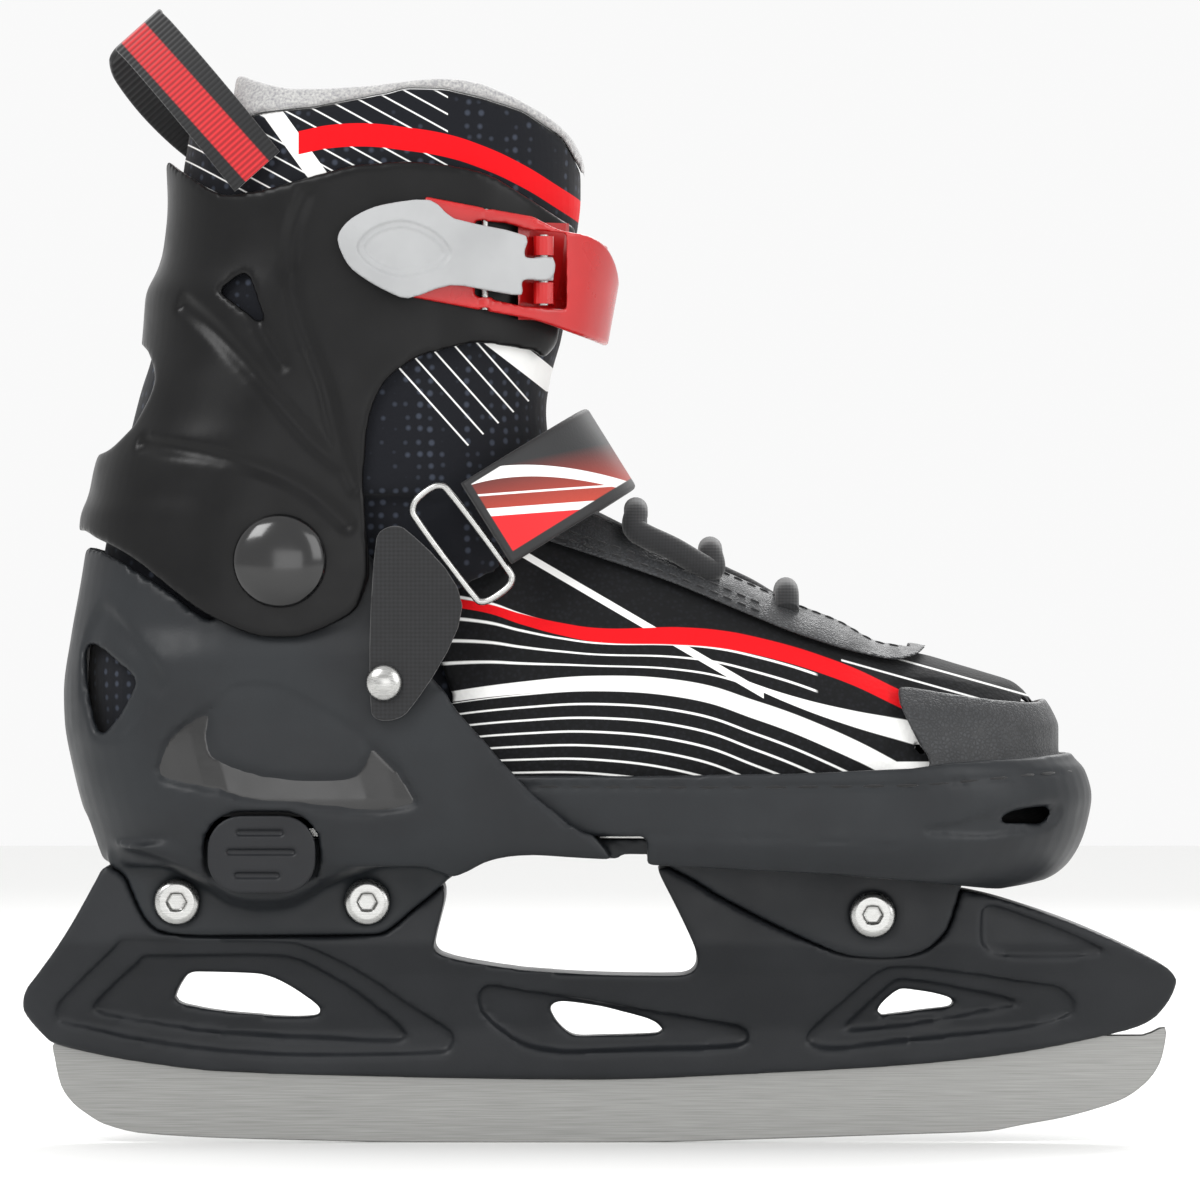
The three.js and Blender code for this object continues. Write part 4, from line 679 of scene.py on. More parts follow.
def liner_cloth():
    """Blue-black spacer mesh with a red band and slanted white lines."""
    made, tree, shader, mm = start("spacer_mesh", 0.85, Sheen_Weight=0.1, Specular_IOR_Level=0.2)
    split = add(tree, "ShaderNodeSeparateXYZ", i0=mm).outputs
    x, z = split[0], split[2]
    dots = add(tree, "ShaderNodeTexVoronoi", Vector=mm, Scale=0.32, Randomness=0.25).outputs["Distance"]
    base = mix(tree, spread(tree, dots, 0.15, 0.32, 1.0, 0.0), 0x0D0F15, 0x333843)
    band_mid = curve_of(tree, x, [[-82, 257.5], [-76, 258.7], [-70, 259.9], [-60, 260.4], [-50, 259.4], [-40, 257.8],
                                  [-30, 254.7], [-20, 250.2], [-10, 244.4], [-4, 241]])
    off = maths(tree, "SUBTRACT", z, band_mid)
    rising = maths(tree, "MULTIPLY_ADD", x, 0.55, z)
    slanted = maths(tree, "FRACT", maths(tree, "DIVIDE", rising, 4.4))
    lines = maths(tree, "MULTIPLY", within(tree, slanted, 0.43, 0.57, 0.05), within(tree, x, -110, -39))
    lines = maths(tree, "MULTIPLY", lines, within(tree, z, 240, 300))
    steep = maths(tree, "MULTIPLY_ADD", x, 1.12, z)
    count = maths(tree, "FRACT", maths(tree, "DIVIDE", maths(tree, "SUBTRACT", steep, 139.2), 7.22))
    ankle = maths(tree, "MULTIPLY", within(tree, count, 0.44, 0.56, 0.04), within(tree, steep, 141, 173))
    low_end = maths(tree, "MULTIPLY_ADD", x, -0.753, z)
    ankle = maths(tree, "MULTIPLY", ankle, within(tree, low_end, 206.1, 300))
    colour = mix(tree, maths(tree, "MAXIMUM", lines, ankle), base, WHITE)
    slope = maths(tree, "MULTIPLY_ADD", z, 0.72, x)
    bar = maths(tree, "MULTIPLY", within(tree, slope, 104.5, 110.5), within(tree, z, 249, 290))
    colour = mix(tree, bar, colour, WHITE)
    red = maths(tree, "MULTIPLY", within(tree, off, -3.1, 3.0), within(tree, x, -77.5, 20))
    colour = mix(tree, red, colour, RED)
    lean = maths(tree, "MULTIPLY_ADD", x, 0.75, z)
    wedge = maths(tree, "MULTIPLY", within(tree, lean, 184.5, 192), within(tree, z, 195, 207))
    colour = mix(tree, wedge, colour, WHITE)
    # only the outside is printed; the inside is plain lining
    arm = add(tree, "ShaderNodeVectorMath", {"operation": "MULTIPLY_ADD"}, i0=mm, i1=(1, 1, 0), i2=(60, 0, 0))
    facing = dot(tree, arm.outputs[0], add(tree, "ShaderNodeNewGeometry").outputs["Normal"])
    lining = mix(tree, noise(tree, mm, 0.8), 0x17181C, 0x25272C)
    paint(tree, shader, mix(tree, within(tree, facing, 0, 1000, 2), lining, colour))
    bump(tree, shader, dots, 0.4, 0.0003)
    return made


def webbing(name, over, centre, half, middle, border):
    """Ribbed polyester tape: a coloured middle between dark borders, ribs across it."""
    made, tree, shader, mm = start(name, 0.8, Sheen_Weight=0.35, Sheen_Roughness=0.4)
    off = maths(tree, "SUBTRACT", dot(tree, mm, over), centre)
    run = dot(tree, mm, (-over[2], 0, over[0]))
    rib = maths(tree, "MULTIPLY_ADD", maths(tree, "SINE", maths(tree, "MULTIPLY", run, 2 * math.pi / 1.3)), 0.5, 0.5)
    inside = within(tree, off, -half, half, 0.4)
    lit = mix(tree, rib, middle[1], middle[0])
    edge = mix(tree, rib, border[1], border[0])
    paint(tree, shader, mix(tree, inside, edge, lit))
    bump(tree, shader, rib, 0.6, 0.0003)
    return made


def strap_print():
    """The instep strap's printed face: red, a white stripe, a grey blend, a white arc, inside a stitched border."""
    made, tree, shader, mm = start("printed_strap", 0.6, Sheen_Weight=0.1)
    ux, uz = 0.8486, 0.529  # the strap's run in side view
    end_x, end_z = -29, 161.2
    run = dot(tree, mm, (ux, 0, uz))
    rise = dot(tree, mm, (-uz, 0, ux))
    off_mid = maths(tree, "SUBTRACT", rise, -uz * end_x + ux * end_z)
    along = maths(tree, "SUBTRACT", run, ux * end_x + uz * end_z)
    weave = noise(tree, mm, 1.4, 3.0)
    fade = spread(tree, maths(tree, "ADD", off_mid, maths(tree, "MULTIPLY", along, 0.35)), -4, 14, 0.0, 1.0)
    field = mix(tree, fade, 0xC23A22, 0x17181A)
    slope = maths(tree, "MULTIPLY_ADD", along, 0.52, off_mid)
    field = mix(tree, within(tree, slope, -60, 1.5), field, RED)
    field = mix(tree, within(tree, slope, 1.2, 3.6), field, WHITE)
    field = mix(tree, within(tree, slope, 7.2, 7.9), field, WHITE)
    bend = maths(tree, "POWER", maths(tree, "SUBTRACT", along, 12), 2.0)
    arc = maths(tree, "ADD", slope, maths(tree, "MULTIPLY", bend, 0.012))
    field = mix(tree, within(tree, arc, 12.0, 15.6), field, WHITE)
    inside = maths(tree, "MULTIPLY", within(tree, off_mid, -10.2, 10.2, 0.3), within(tree, along, 1.5, 200, 0.3))
    paint(tree, shader, mix(tree, inside, 0x121214, field))
    bump(tree, shader, weave, 0.35, 0.00012)
    return made


# hard pieces: dull grained shells and holder, a satin cuff, polished caps, glossy red nylon, a matt grey lever
shell_plastic = moulded("grained_abs", 0x191B1E, 0x1F2225, 0.44)
holder_plastic = moulded("glass_filled_nylon", 0x17191C, 0x1E2023, 0.44, 1.1, 0.00009)
cuff_plastic = moulded("satin_polypropylene", 0x060607, 0x0A0A0B, 0.34, 1.8, 0.00003, shine=0.22)
gloss_plastic = moulded("polished_abs", 0x040405, 0x070708, 0.14, 2.0, 0.000006, 0.4, 0.5)
red_plastic = moulded("red_nylon", 0xA80A0C, 0xB81012, 0.3, 1.5, 0.00003, 0.3, 0.5)
lever_plastic = moulded("grey_acetal", 0x98999A, 0xA6A7A8, 0.36, 1.5, 0.00003)
button_plastic = moulded("button_abs", 0x17181B, 0x1D1F22, 0.45)
# bright plated fittings beside the duller ground blade
steel = metal("plated_steel", 0xC4C4C2, 0xA0A09E, 0.24)
blade_steel = metal("ground_carbon_steel", 0x9C9C9A, 0x80807E, 0.34)
# soft pieces: the two printed cloths, pebbled leather, pale pile at the collar, and threads and tapes by their pitch
printed_cloth = upper_cloth()
mesh_cloth = liner_cloth()
dark_leather = leather("coated_leather", 0x26282B, 0x121315)
grey_fleece = fleece("brushed_fleece", 0xB4B3B0, 0x77767A)
tongue_cloth = woven("tongue_cloth", 0x24252A, 0x0D0E10)
lace_cloth = woven("braided_lace", 0x18191C, 0x060607, pitch=1.6)
thread = woven("stitch_thread", 0x141517, 0x08080A, pitch=0.5)
keeper_tape = woven("keeper_tape", 0x1C1D20, 0x070708, pitch=2.2)
strap_face = strap_print()
loop_tape = webbing("loop_tape", (0.7458, 0, 0.6662), 0.7458 * -88 + 0.6662 * 251, 4.2, (0xC8242A, 0x8E1218),
                    (0x1A1A1C, 0x08080A))


# ---- surfaces and sweeps -------------------------------------------------------------------------
def cut(obj, *others):
    for other in others:
        boolean(obj, other)
    return obj


def keep(obj, *others):
    for other in others:
        boolean(obj, other, "INTERSECT")
    return obj


def join(obj, *others):
    for other in others:
        boolean(obj, other, "UNION")
    return obj


def across(outline, y0=-FAR, y1=FAR):
    """A tool with the outline as its side view."""
    return plate("outline", outline, y0, y1)


def curved(outline, per, y0=-FAR, y1=FAR):
    """A tool with the outline's smooth curve as its side view."""
    return across(smooth_outline(outline, per), y0, y1)


def bore(x, z, r, y0=-FAR, y1=FAR, sides=32):
    """A round tool along Y."""
    return lathe("bore", x, z, [[r, y0], [r, y1]], sides)


def box(x0, x1, y0, y1, z0, z1):
    return plate("box", [(x0, z0), (x1, z0), (x1, z1), (x0, z1)], y0, y1)


def cuff_half(x, z):
    """Half width of the cuff at x, z."""
    return float(ends_rounded(x, *shaft_walls(z, CUFF, 0.0)))


def arch_half(x, z, g):
    """Half width of the arched body, g outside the upper, at x, z."""
    half = boot_side(x, BALL_LEVEL, UPPER_OFFSET) + g
    top = float(smooth_table(TOP, x)) + g
    return half * max(0.0, 1 - max(0.0, (z - WAIST) / (top - WAIST)) ** ARCH_POWER) ** (1 / ARCH_POWER)


def frames(path, up=None, closed=False):
    """Side and normal along a path; the side is fixed when `up` is given."""
    p = np.array(path, float)
    t = (np.roll(p, -1, 0) - np.roll(p, 1, 0)) if closed else np.gradient(p, axis=0)
    t /= np.linalg.norm(t, axis=1)[:, None]
    if up is not None:
        u = np.array(up, float) / np.linalg.norm(up)
        n = np.cross(t, u)
        n /= np.linalg.norm(n, axis=1)[:, None]
        return np.tile(u, (len(p), 1)), n
    u = np.cross(t[0], [0.13, 0.21, 0.97])
    us = []
    for d in t:
        u = u - d * np.dot(u, d)
        u = u / np.linalg.norm(u)
        us.append(u.copy())
    us = np.array(us)
    return us, np.cross(t, us)


def sweep(name, path, section, up=None, closed=False, per=8):
    """A section of [side, normal] offsets drawn along a smooth path."""
    p = smooth_outline(path, per, closed)
    u, n = frames(p, up, closed)
    s = np.array(section, float)
    rings = [p[i] + s[:, :1] * u[i] + s[:, 1:] * n[i] for i in range(len(p))]
    return loft(name, rings, closed)


def round_section(r, sides=16):
    a = np.arange(sides) * 2 * math.pi / sides
    return [(r * math.cos(t), r * math.sin(t)) for t in a]


def flat_section(width, thick, edge=0.7, n=4):
    """A band's section with rounded edges."""
    return rounded(0, 0, width, thick, min(edge, thick / 2 - 0.01), n)


def tube(name, path, r, sides=16, closed=False, per=8):
    return shade(sweep(name, path, round_section(r, sides), None, closed, per))


# ---- stitches ------------------------------------------------------------------------------------
def stitch_tree():
    """Repeats a short thread along curves: named sizes, realised and painted at the end."""
    tree = bpy.data.node_groups.new("stitches", "GeometryNodeTree")
    face = tree.interface
    face.new_socket("Geometry", in_out="OUTPUT", socket_type="NodeSocketGeometry")
    face.new_socket("Geometry", in_out="INPUT", socket_type="NodeSocketGeometry")
    for label in ("Pitch", "Length", "Thickness"):
        face.new_socket(label, in_out="INPUT", socket_type="NodeSocketFloat")
    face.new_socket("Material", in_out="INPUT", socket_type="NodeSocketMaterial")
    given = tree.nodes.new("NodeGroupInput").outputs
    out = tree.nodes.new("NodeGroupOutput")
    spaced = add(tree, "GeometryNodeResampleCurve", {"mode": "LENGTH"}, Curve=given["Geometry"],
                 Length=given["Pitch"])
    ball = add(tree, "GeometryNodeMeshUVSphere", Segments=8, Rings=6, Radius=0.5)
    size = add(tree, "ShaderNodeCombineXYZ", X=given["Thickness"], Y=given["Thickness"], Z=given["Length"])
    turn = add(tree, "FunctionNodeAlignRotationToVector", {"axis": "Z"},
               Vector=add(tree, "GeometryNodeInputTangent").outputs[0])
    laid = add(tree, "GeometryNodeInstanceOnPoints", Points=spaced.outputs[0], Instance=ball.outputs[0],
               Rotation=turn.outputs[0], Scale=size.outputs[0])
    real = add(tree, "GeometryNodeRealizeInstances", Geometry=laid.outputs[0])
    done = add(tree, "GeometryNodeSetMaterial", Geometry=real.outputs[0], Material=given["Material"])
    tree.links.new(done.outputs[0], out.inputs[0])
    return tree


STITCH_TREE = stitch_tree()


def stitches(name, paths, body, pitch, length, thickness):
    """Rows of stitches; each path is a list of points in millimetres on a surface."""
    data = bpy.data.curves.new(name, "CURVE")
    data.dimensions = "3D"
    for path in paths:
        points = smooth_outline(path, 6, False) * MM
        spline = data.splines.new("POLY")
        spline.points.add(len(points) - 1)
        for spot, co in zip(spline.points, points):
            spot.co = (*co, 1)
    rows = bpy.data.objects.new(name + "_rows", data)
    scene.collection.objects.link(rows)
    modifier = rows.modifiers.new("stitches", "NODES")
    modifier.node_group = STITCH_TREE
    values = {"Pitch": pitch * MM, "Length": length * MM, "Thickness": thickness * MM, "Material": thread}
    for item in STITCH_TREE.interface.items_tree:
        if item.in_out == "INPUT" and item.name in values:
            modifier[item.identifier] = values[item.name]
    depsgraph = bpy.context.evaluated_depsgraph_get()
    depsgraph.update()
    mesh = bpy.data.meshes.new_from_object(rows.evaluated_get(depsgraph), depsgraph=depsgraph)
    made = bpy.data.objects.new(name, mesh)
    scene.collection.objects.link(made)
    bpy.data.objects.remove(rows)
    return piece(shade(made), name, thread, body, slot="fabric")


def both_sides(points):
    """The same row on both sides of the boot."""
    p = np.array(points, float)
    return [p * [1, -1, 1], p * [1, 1, 1]]


# ---- floor ---------------------------------------------------------------------------------------
floor_paint, floor_tree, floor_shader, floor_mm = start("pale_floor", 0.7, colour=0xF4F4F3)
bump(floor_tree, floor_shader, noise(floor_tree, floor_mm, 0.2), 0.05, 0.0002)
ground = mesh_object("floor", [(-3, -2, 0), (3, -2, 0), (3, 3, 0), (-3, 3, 0)], [(0, 1, 2, 3)])
ground.data.materials.append(floor_paint)

# ---- blade holder, blade and bolts ---------------------------------------------------------------
BLADE_ROOM = 2.1
BLADE_HALF, BLADE_BEVEL = 1.75, 0.3
BOLT_BORE, BOLT_RECESS, RECESS_DEPTH = 4.8, 7.1, 0.8
HOLDER_WIDTH = [[10, 7], [14, 6], [20, 7], [30, 8], [44, 13], [52, LUG_HALF], [80, LUG_HALF]]


def holder_core(g):
    """The holder's plain cross-section, drawn along X: narrow at the rail, full at the lugs."""
    sides = [(max(y + g, 0.5), z) for z, y in HOLDER_WIDTH]
    ring = sides + [(-y, z) for y, z in reversed(sides)]
    return loft("core", [np.array([(x, y, z) for y, z in ring]) for x in (-FAR, FAR)])


holder = keep(curved(HOLDER, 3), holder_core(0))
for hole in HOLDER_HOLES:
    cut(holder, curved(hole, 4))
for depth, outline in POCKETS:
    tool = curved(outline, 4)
    cut(tool, holder_core(-1.3 * depth))
    cut(holder, tool)
for lug in (REAR_LUG, FRONT_LUG):
    for y in ((TOWER_HALF, FAR), (-FAR, -TOWER_HALF)):
        cut(holder, across(grown(smooth_outline(lug, 3), FIT), *y))
BLADE_EDGE = [[-141.7, 26], [-141.7, 22], [-140, 14.7], [-137, 10.3], [-133.3, 7.4], [-128.9, 4.8], [-120, 2.5],
              [-100, 1.2], [-70, 0.4], [-50, 0], [10, 0], [50, 1.1], [80, 2.1], [100.8, 2.9], [110, 4.6],
              [120, 6.4], [130, 9.1], [136.5, 11.6], [141.5, 15.2], [144.7, 19.1], [146.4, 23.7], [146.8, 30],
              [141, 28], [110, 28], [60, 24], [0, 22], [-60, 22.5], [-110, 25], [-130, 28]]
cut(holder, across(grown(BLADE_EDGE, FIT), -BLADE_ROOM, BLADE_ROOM))
for x, z in BOLTS.values():
    cut(holder, bore(x, z, BOLT_BORE))
piece(soften(holder, 0.95, 3), "blade_holder_fine", holder_plastic, "root", "blade_holder", slot="holder")

blade_rings = [[(x, y, z) for x, z in grown(smooth_outline(BLADE_EDGE, 3), inset)]
               for y, inset in ((-BLADE_HALF, -BLADE_BEVEL), (-1.45, 0), (1.45, 0), (BLADE_HALF, -BLADE_BEVEL))]
piece(loft("blade_fine", np.array(blade_rings)), "blade_fine", blade_steel, "root", "blade", slot="blade")

for name, (x, z) in BOLTS.items():
    seat = LUG_HALF - RECESS_DEPTH + FIT
    head = lathe("head", x, z, [[0, -seat - 2.2], [2.5, -seat - 2.6], [4.6, -seat - 2.6], [5.4, -seat - 2.2],
                                [5.9, -seat - 1.5], [5.9, -seat], [3, -seat], [3, -4], [0, -4]])
    cut(head, lathe("hex", x, z, [[2.7, -seat - 4], [2.7, -seat - 0.7]], 6))
    piece(soften(head, 0.3, 2), f"bolt_{name}_fine", steel, "root", f"bolt_{name}", slot="steel")
    nut = lathe("nut", x, z, [[0, -2], [4.4, -2], [4.4, seat], [5.9, seat], [5.9, seat + 1.5], [5.4, seat + 2.2],
                              [4.6, seat + 2.6], [0, seat + 2.6]])
    piece(shade(nut), f"sleeve_nut_{name}_fine", steel, "root", f"sleeve_nut_{name}", slot="steel")

# ---- heel shell ----------------------------------------------------------------------------------
shell = keep(boot_solid("shell", 66, 170, SHELL_OFFSET), curved(HEEL_SHELL, 2))
hollow = curved(POD, 4)
cut(hollow, boot_solid("floor", 60, 172, SHELL_OFFSET - 1.7))
cut(shell, hollow)
face = keep(boot_solid("face", 84, 124, SHELL_OFFSET - 0.35), curved(POD_FACE, 4))
join(shell, face)
cut(shell, boot_solid("inside", FLOOR_TOP, 171, SHELL_CLEAR))
relief = curved(WINDOW_RELIEF, 4)
cut(relief, boot_solid("floor", 60, 172, SHELL_OFFSET - 0.9))
cut(shell, relief, curved(SHELL_WINDOW, 4))
sole = keep(boot_solid("sole", 75.7, FLOOR_TOP, -7), box(-60, 96, -FAR, FAR, 0, FAR))
bulge_rings = []
for t in np.linspace(0, 1, 14):
    z = 60 + 18 * t
    rear, front, half = (float(smooth_table(table, z)) for table in (
        [[60, -98], [66, -103], [78, -128]], [[60, -76], [66, -70], [78, -36]], [[60, 17.3], [66, 30], [78, 32.5]]))
    bulge_rings.append(plan_ring(z, rear, front,
                                 lambda x: ends_rounded(x, rear, front, half, 12), 32))
join(shell, sole, loft("bulge", bulge_rings))
for lug in (REAR_LUG, FRONT_LUG):
    for y in ((TOWER_HALF + FIT, LUG_HALF), (-LUG_HALF, -TOWER_HALF - FIT)):
        join(shell, curved(lug, 3, *y))
cut(shell, box(-FAR, -30, -TOWER_HALF - FIT, TOWER_HALF + FIT, -FAR, 72.6))
for x, z in BOLTS.values():
    cut(shell, bore(x, z, BOLT_BORE, sides=40))
    for y in ((LUG_HALF - RECESS_DEPTH, FAR), (-FAR, -LUG_HALF + RECESS_DEPTH)):
        cut(shell, bore(x, z, BOLT_RECESS, *y, 48))
bx, bz, bw, bh, br = BUTTON
cut(shell, across(rounded(bx, bz, bw + 2.2, bh + 2.2, br + 1.1), -FAR, -28))
cut(shell, bore(bx, bz, 6.2, -FAR, -19))
piece(soften(largest(shell), 1.12, 3), "heel_shell_fine", shell_plastic, "root", "heel_shell", slot="shell")

# the polished floor of the scooped hollow under the mount's face
SIDES = {"lateral": -1, "medial": 1}
for name, s in SIDES.items():
    floor = keep(boot_solid("floor", 84, 122, SHELL_OFFSET - 1.35), curved(grown(POD, -0.6), 4, *sorted((0, s * FAR))))
    cut(floor, boot_solid("inside", 80, 130, SHELL_OFFSET - 2.4), curved(grown(POD_FACE, 0.3), 4))
    piece(soften(largest(floor), 0.45, 3), f"hollow_floor_{name}", gloss_plastic, "root", slot="gloss")

# ---- size button ---------------------------------------------------------------------------------
outer = -boot_side(bx, bz, SHELL_OFFSET) - 1.6
button = across(rounded(bx, bz, bw, bh, br), outer, -32.4)
for x0, x1, z in ((-93.5, -81, 81.3), (-96, -78, 76.3), (-94, -82, 70.3)):
    cut(button, across(rounded((x0 + x1) / 2, z, x1 - x0, 1.8, 0.89), -FAR, outer + 0.9))
piece(soften(button, 0.4, 3), "size_button_fine", button_plastic, "button", "size_button", slot="button")

# ---- toe shell and toe cap -----------------------------------------------------------------------
toe = keep(boot_solid("toe", 66, 101.4, 0, 1.2), across(TOE_EDGE),
           across([[12, 40], [12, 73.2], [60, 70.8], [90, 67.9], [104, 66], [150, 66], [150, 120], [-60, 120],
                   [-60, 40]]))
cut(toe, boot_solid("inside", 74.5, 101.5, -SHELL_WALL + 0.05))
cut(toe, box(-60, 96, -LUG_HALF - FIT, LUG_HALF + FIT, 40, 76.4))
relief = curved(VENT_RELIEF, 4)
cut(relief, boot_solid("floor", 60, 110, -0.9))
cut(toe, relief, curved(VENT, 4))
TOE_ROW = [[-38, 93.2], [-10, 93.2], [40, 93.2], [80, 93.7], [100, 95.2], [112, 96.2], [120, 96.7]]
STYLE_LINE = [[8, 81], [30.4, 80.4], [41.7, 80.1], [70, 78.6], [81.6, 77.6]]


def toe_rows(row, g):
    """A row along both sides of the toe shell, g outside it."""
    return both_sides([(x, boot_side(x, z, g), z) for x, z in smooth_outline(row, 6, False)])


for row, r in ((TOE_ROW, 1.0), (STYLE_LINE, 0.7)):
    for path in toe_rows(row, 0.2):
        cut(toe, tube("groove", path, r, 12, per=2))
piece(soften(largest(toe), 0.9, 2), "toe_shell_fine", shell_plastic, "toe", "toe_shell", slot="shell")
stitches("toe_shell_stitches", toe_rows(TOE_ROW, -0.55), "toe", 8, 6, 0.9)

cap = cut(boot_solid("cap", 88, 119, CAP_OFFSET, 0.8),
          boot_solid("inside", 87, 119 - CAP_WALL, CAP_OFFSET - CAP_WALL, 0.8))
keep(cap, curved(CAP_EDGE, 2))
piece(soften(largest(cap), 0.7, 3), "toe_cap_fine", dark_leather, "toe", "toe_cap", slot="leather")

# ---- ankle cuff ----------------------------------------------------------------------------------
cuff = cut(shaft_solid("cuff", 125, 258, 0, CUFF), shaft_solid("inside", 124, 259, -CUFF_WALL, CUFF))
keep(cuff, curved(CUFF_EDGE, 3))
cut(cuff, across(CUFF_WINDOW), box(-45, FAR, -9, 9, 0, FAR))
CREASES = [
    (3.6, [[-75, 247], [-79, 237], [-80, 229], [-79, 220], [-75.6, 209], [-70.7, 196], [-66.5, 179], [-62, 168]]),
    (3.6, [[-109.7, 218], [-98.6, 209], [-84.6, 194], [-74, 182], [-66, 175]]),
    (3.2, [[-120, 182], [-100, 178.3], [-84.6, 174], [-73.5, 168], [-63.7, 159]]),
    (2.6, [[-89, 213], [-84.5, 206], [-80.5, 199.5]])]
for r, line in CREASES:
    for path in both_sides([(x, cuff_half(x, z) + r - 0.9, z) for x, z in smooth_outline(line, 3, False)]):
        cut(cuff, tube("crease", path, r, 20, per=2))
for x, z, inner in ((*PIVOT, 0), (-46, 231.3, 0)):
    cut(cuff, bore(x, z, 3, inner))
piece(soften(largest(cuff), 0.85, 8), "cuff_fine", cuff_plastic, "cuff", "cuff", slot="cuff")

for name, s in SIDES.items():
    out = s * (cuff_half(*PIVOT) + FIT)
    profile = [[0, out - s * 3], [11, out - s * 0.6], [12, out]]
    profile += [[12 * math.cos(a), out + s * (1.4 + 4 * math.sin(a))] for a in np.linspace(0, math.pi / 2, 14)]
    piece(shade(lathe("cap", *PIVOT, profile, 96)), f"pivot_cap_{name}", gloss_plastic, "root", f"pivot_{name}",
          slot="gloss")
    pin = lathe("pin", *PIVOT, [[0, out - s * 8], [3.5, out - s * 8], [3.5, out - s * 0.5], [0, out - s * 0.5]], 32)
    piece(shade(pin), f"pivot_pin_{name}", steel, "root", slot="steel")

# ---- upper, eyestays, tongue and lace ------------------------------------------------------------
THROAT_HALF, THROAT_ROW = 12, 14
UPPER_EDGE = [[-46, 78], [-38, 116], [-46.5, 141], [-42, 150], [-9, 185], [30, 160], [130, 135], [130, 78]]


def inside_toe(g):
    """Room inside the toe; behind the cap there is no limit."""
    return join(boot_solid("toe_room", 66, 220, g), box(-FAR, 74, -FAR, FAR, -FAR, FAR))


def throat(half):
    """The opening under the lace."""
    return box(-60, 80, -half, half, 110, FAR)


vamp = cut(arch_solid("vamp", 0, UPPER_FLOOR), arch_solid("inside", -UPPER_WALL, UPPER_FLOOR + UPPER_WALL, -52, 112))
keep(vamp, across(UPPER_EDGE), inside_toe(UPPER_OFFSET))
cut(vamp, throat(THROAT_HALF))
vamp = piece(soften(largest(vamp), 1.1, 3), "vamp", printed_cloth, None, "upper", slot="fabric")
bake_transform(vamp)

eyestay = cut(arch_solid("eyestay", UPPER_WALL, UPPER_FLOOR), arch_solid("inside", 0.3, UPPER_FLOOR, -55, 119),
              throat(THROAT_HALF))
keep(eyestay, curved(EYESTAY, 3), box(-32, FAR, -FAR, FAR, 0, FAR))
halves = {"lateral": eyestay, "medial": copy_of(eyestay)}
for name, s in SIDES.items():
    half = keep(halves[name], box(-FAR, FAR, *sorted((0, s * FAR)), 0, FAR))
    piece(soften(largest(half), 0.45, 3), f"eyestay_{name}_fine", dark_leather, "root", f"eyestay_{name}",
          slot="leather")
LOW_ROW = [(x, z + 2.0) for x, z in EYESTAY[13:-2]]
rows = []
for inset in (0, 2.2):
    line = [(x, z + inset) for x, z in LOW_ROW]
    rows += both_sides([(x, arch_half(x, z, UPPER_WALL) + 0.15, z) for x, z in smooth_outline(line, 3, False)])
stitches("eyestay_stitches", rows, "root", 3.6, 2.6, 0.6)
throat_row = []
for x in np.arange(-8, 78, 4.0):
    top = float(smooth_table(TOP, x)) + UPPER_WALL + 0.1 - WAIST
    down = (1 - (THROAT_ROW / arch_half(x, WAIST, UPPER_WALL)) ** ARCH_POWER) ** (1 / ARCH_POWER)
    throat_row.append((x, THROAT_ROW, WAIST + top * down))
stitches("throat_stitches", both_sides(throat_row), "root", 3.6, 2.6, 0.6)

tongue = cut(arch_solid("tongue", 0.5, UPPER_FLOOR),
             arch_solid("inside", -UPPER_WALL, UPPER_FLOOR + UPPER_WALL, -52, 112))
keep(tongue, box(-14, 79, -11.6, 11.6, 115, FAR))
tongue = piece(soften(largest(tongue), 0.7, 4), "tongue_fine", tongue_cloth, "root", "tongue", slot="fabric")

LACES = [(9.3, 163.2), (28.6, 153), (48.3, 142.4)]
lace_path = []
for i, (x, z) in enumerate(LACES):
    s = -1 if i % 2 else 1
    lace_path += [(x, s * y, z + dz) for y, dz in ((19, -4.2), (15, 0), (0, 1.4), (-15, 0), (-19, -4.2))]
    if i < 2:
        lace_path.append(((x + LACES[i + 1][0]) / 2, -s * 20.5, (z + LACES[i + 1][1]) / 2 - 4))
piece(tube("lace", lace_path, 3.1, 20), "lace_fine", lace_cloth, "root", "lace", slot="fabric")

# ---- liner, collar and footbed -------------------------------------------------------------------
FOOT_FLOOR = UPPER_FLOOR + UPPER_WALL + FIT
LINER_WALL = 6
SEAM = [[-140, 150], [-140, 262], [-106, 265], [-96, 262.5], [-87.6, 266.2], [-74, 267.4], [-54, 271.1],
        [-50, 272.3], [-40, 272.1], [-30, 269.8], [-20, 266.7], [-10, 260.4], [-5.7, 253.3], [-4, 249], [-3, 236],
        [20, 228], [20, 60], [-140, 60]]
liner = keep(shaft_solid("liner", 81, 282, 0), box(-FAR, FAR, -FAR, FAR, FOOT_FLOOR, FAR),
             join(boot_solid("room", 70, 168, 0), box(-FAR, FAR, -FAR, FAR, 168, FAR)))
cut(liner, arch_solid("vamp_room", UPPER_WALL + FIT, UPPER_FLOOR - 1, -48, 119))
foot = keep(arch_solid("foot", -UPPER_WALL - 0.3, FOOT_FLOOR, -58, 108), inside_toe(UPPER_OFFSET - UPPER_WALL - 0.3))
join(liner, foot)
cut(liner, shaft_solid("ankle_room", FOOT_FLOOR + 4, 284, -LINER_WALL),
    arch_solid("foot_room", -UPPER_WALL - 0.3 - LINER_WALL + 2, FOOT_FLOOR + 4, -52, 100))
keep(liner, curved(SEAM, 1))
for s in (-1, 1):
    deep = boot_side(*PIVOT, SHELL_CLEAR) - 2.4
    cut(liner, bore(*PIVOT, 6.5, s * deep, s * FAR))
cut(liner, across(rounded(bx, bz, bw + 1.4, bh + 1.4, br + 0.7), -FAR, -29))
liner = piece(soften(largest(liner), 1.3, 3), "liner_fine", mesh_cloth, None, "liner_lower", "liner_upper",
              slot="fabric")
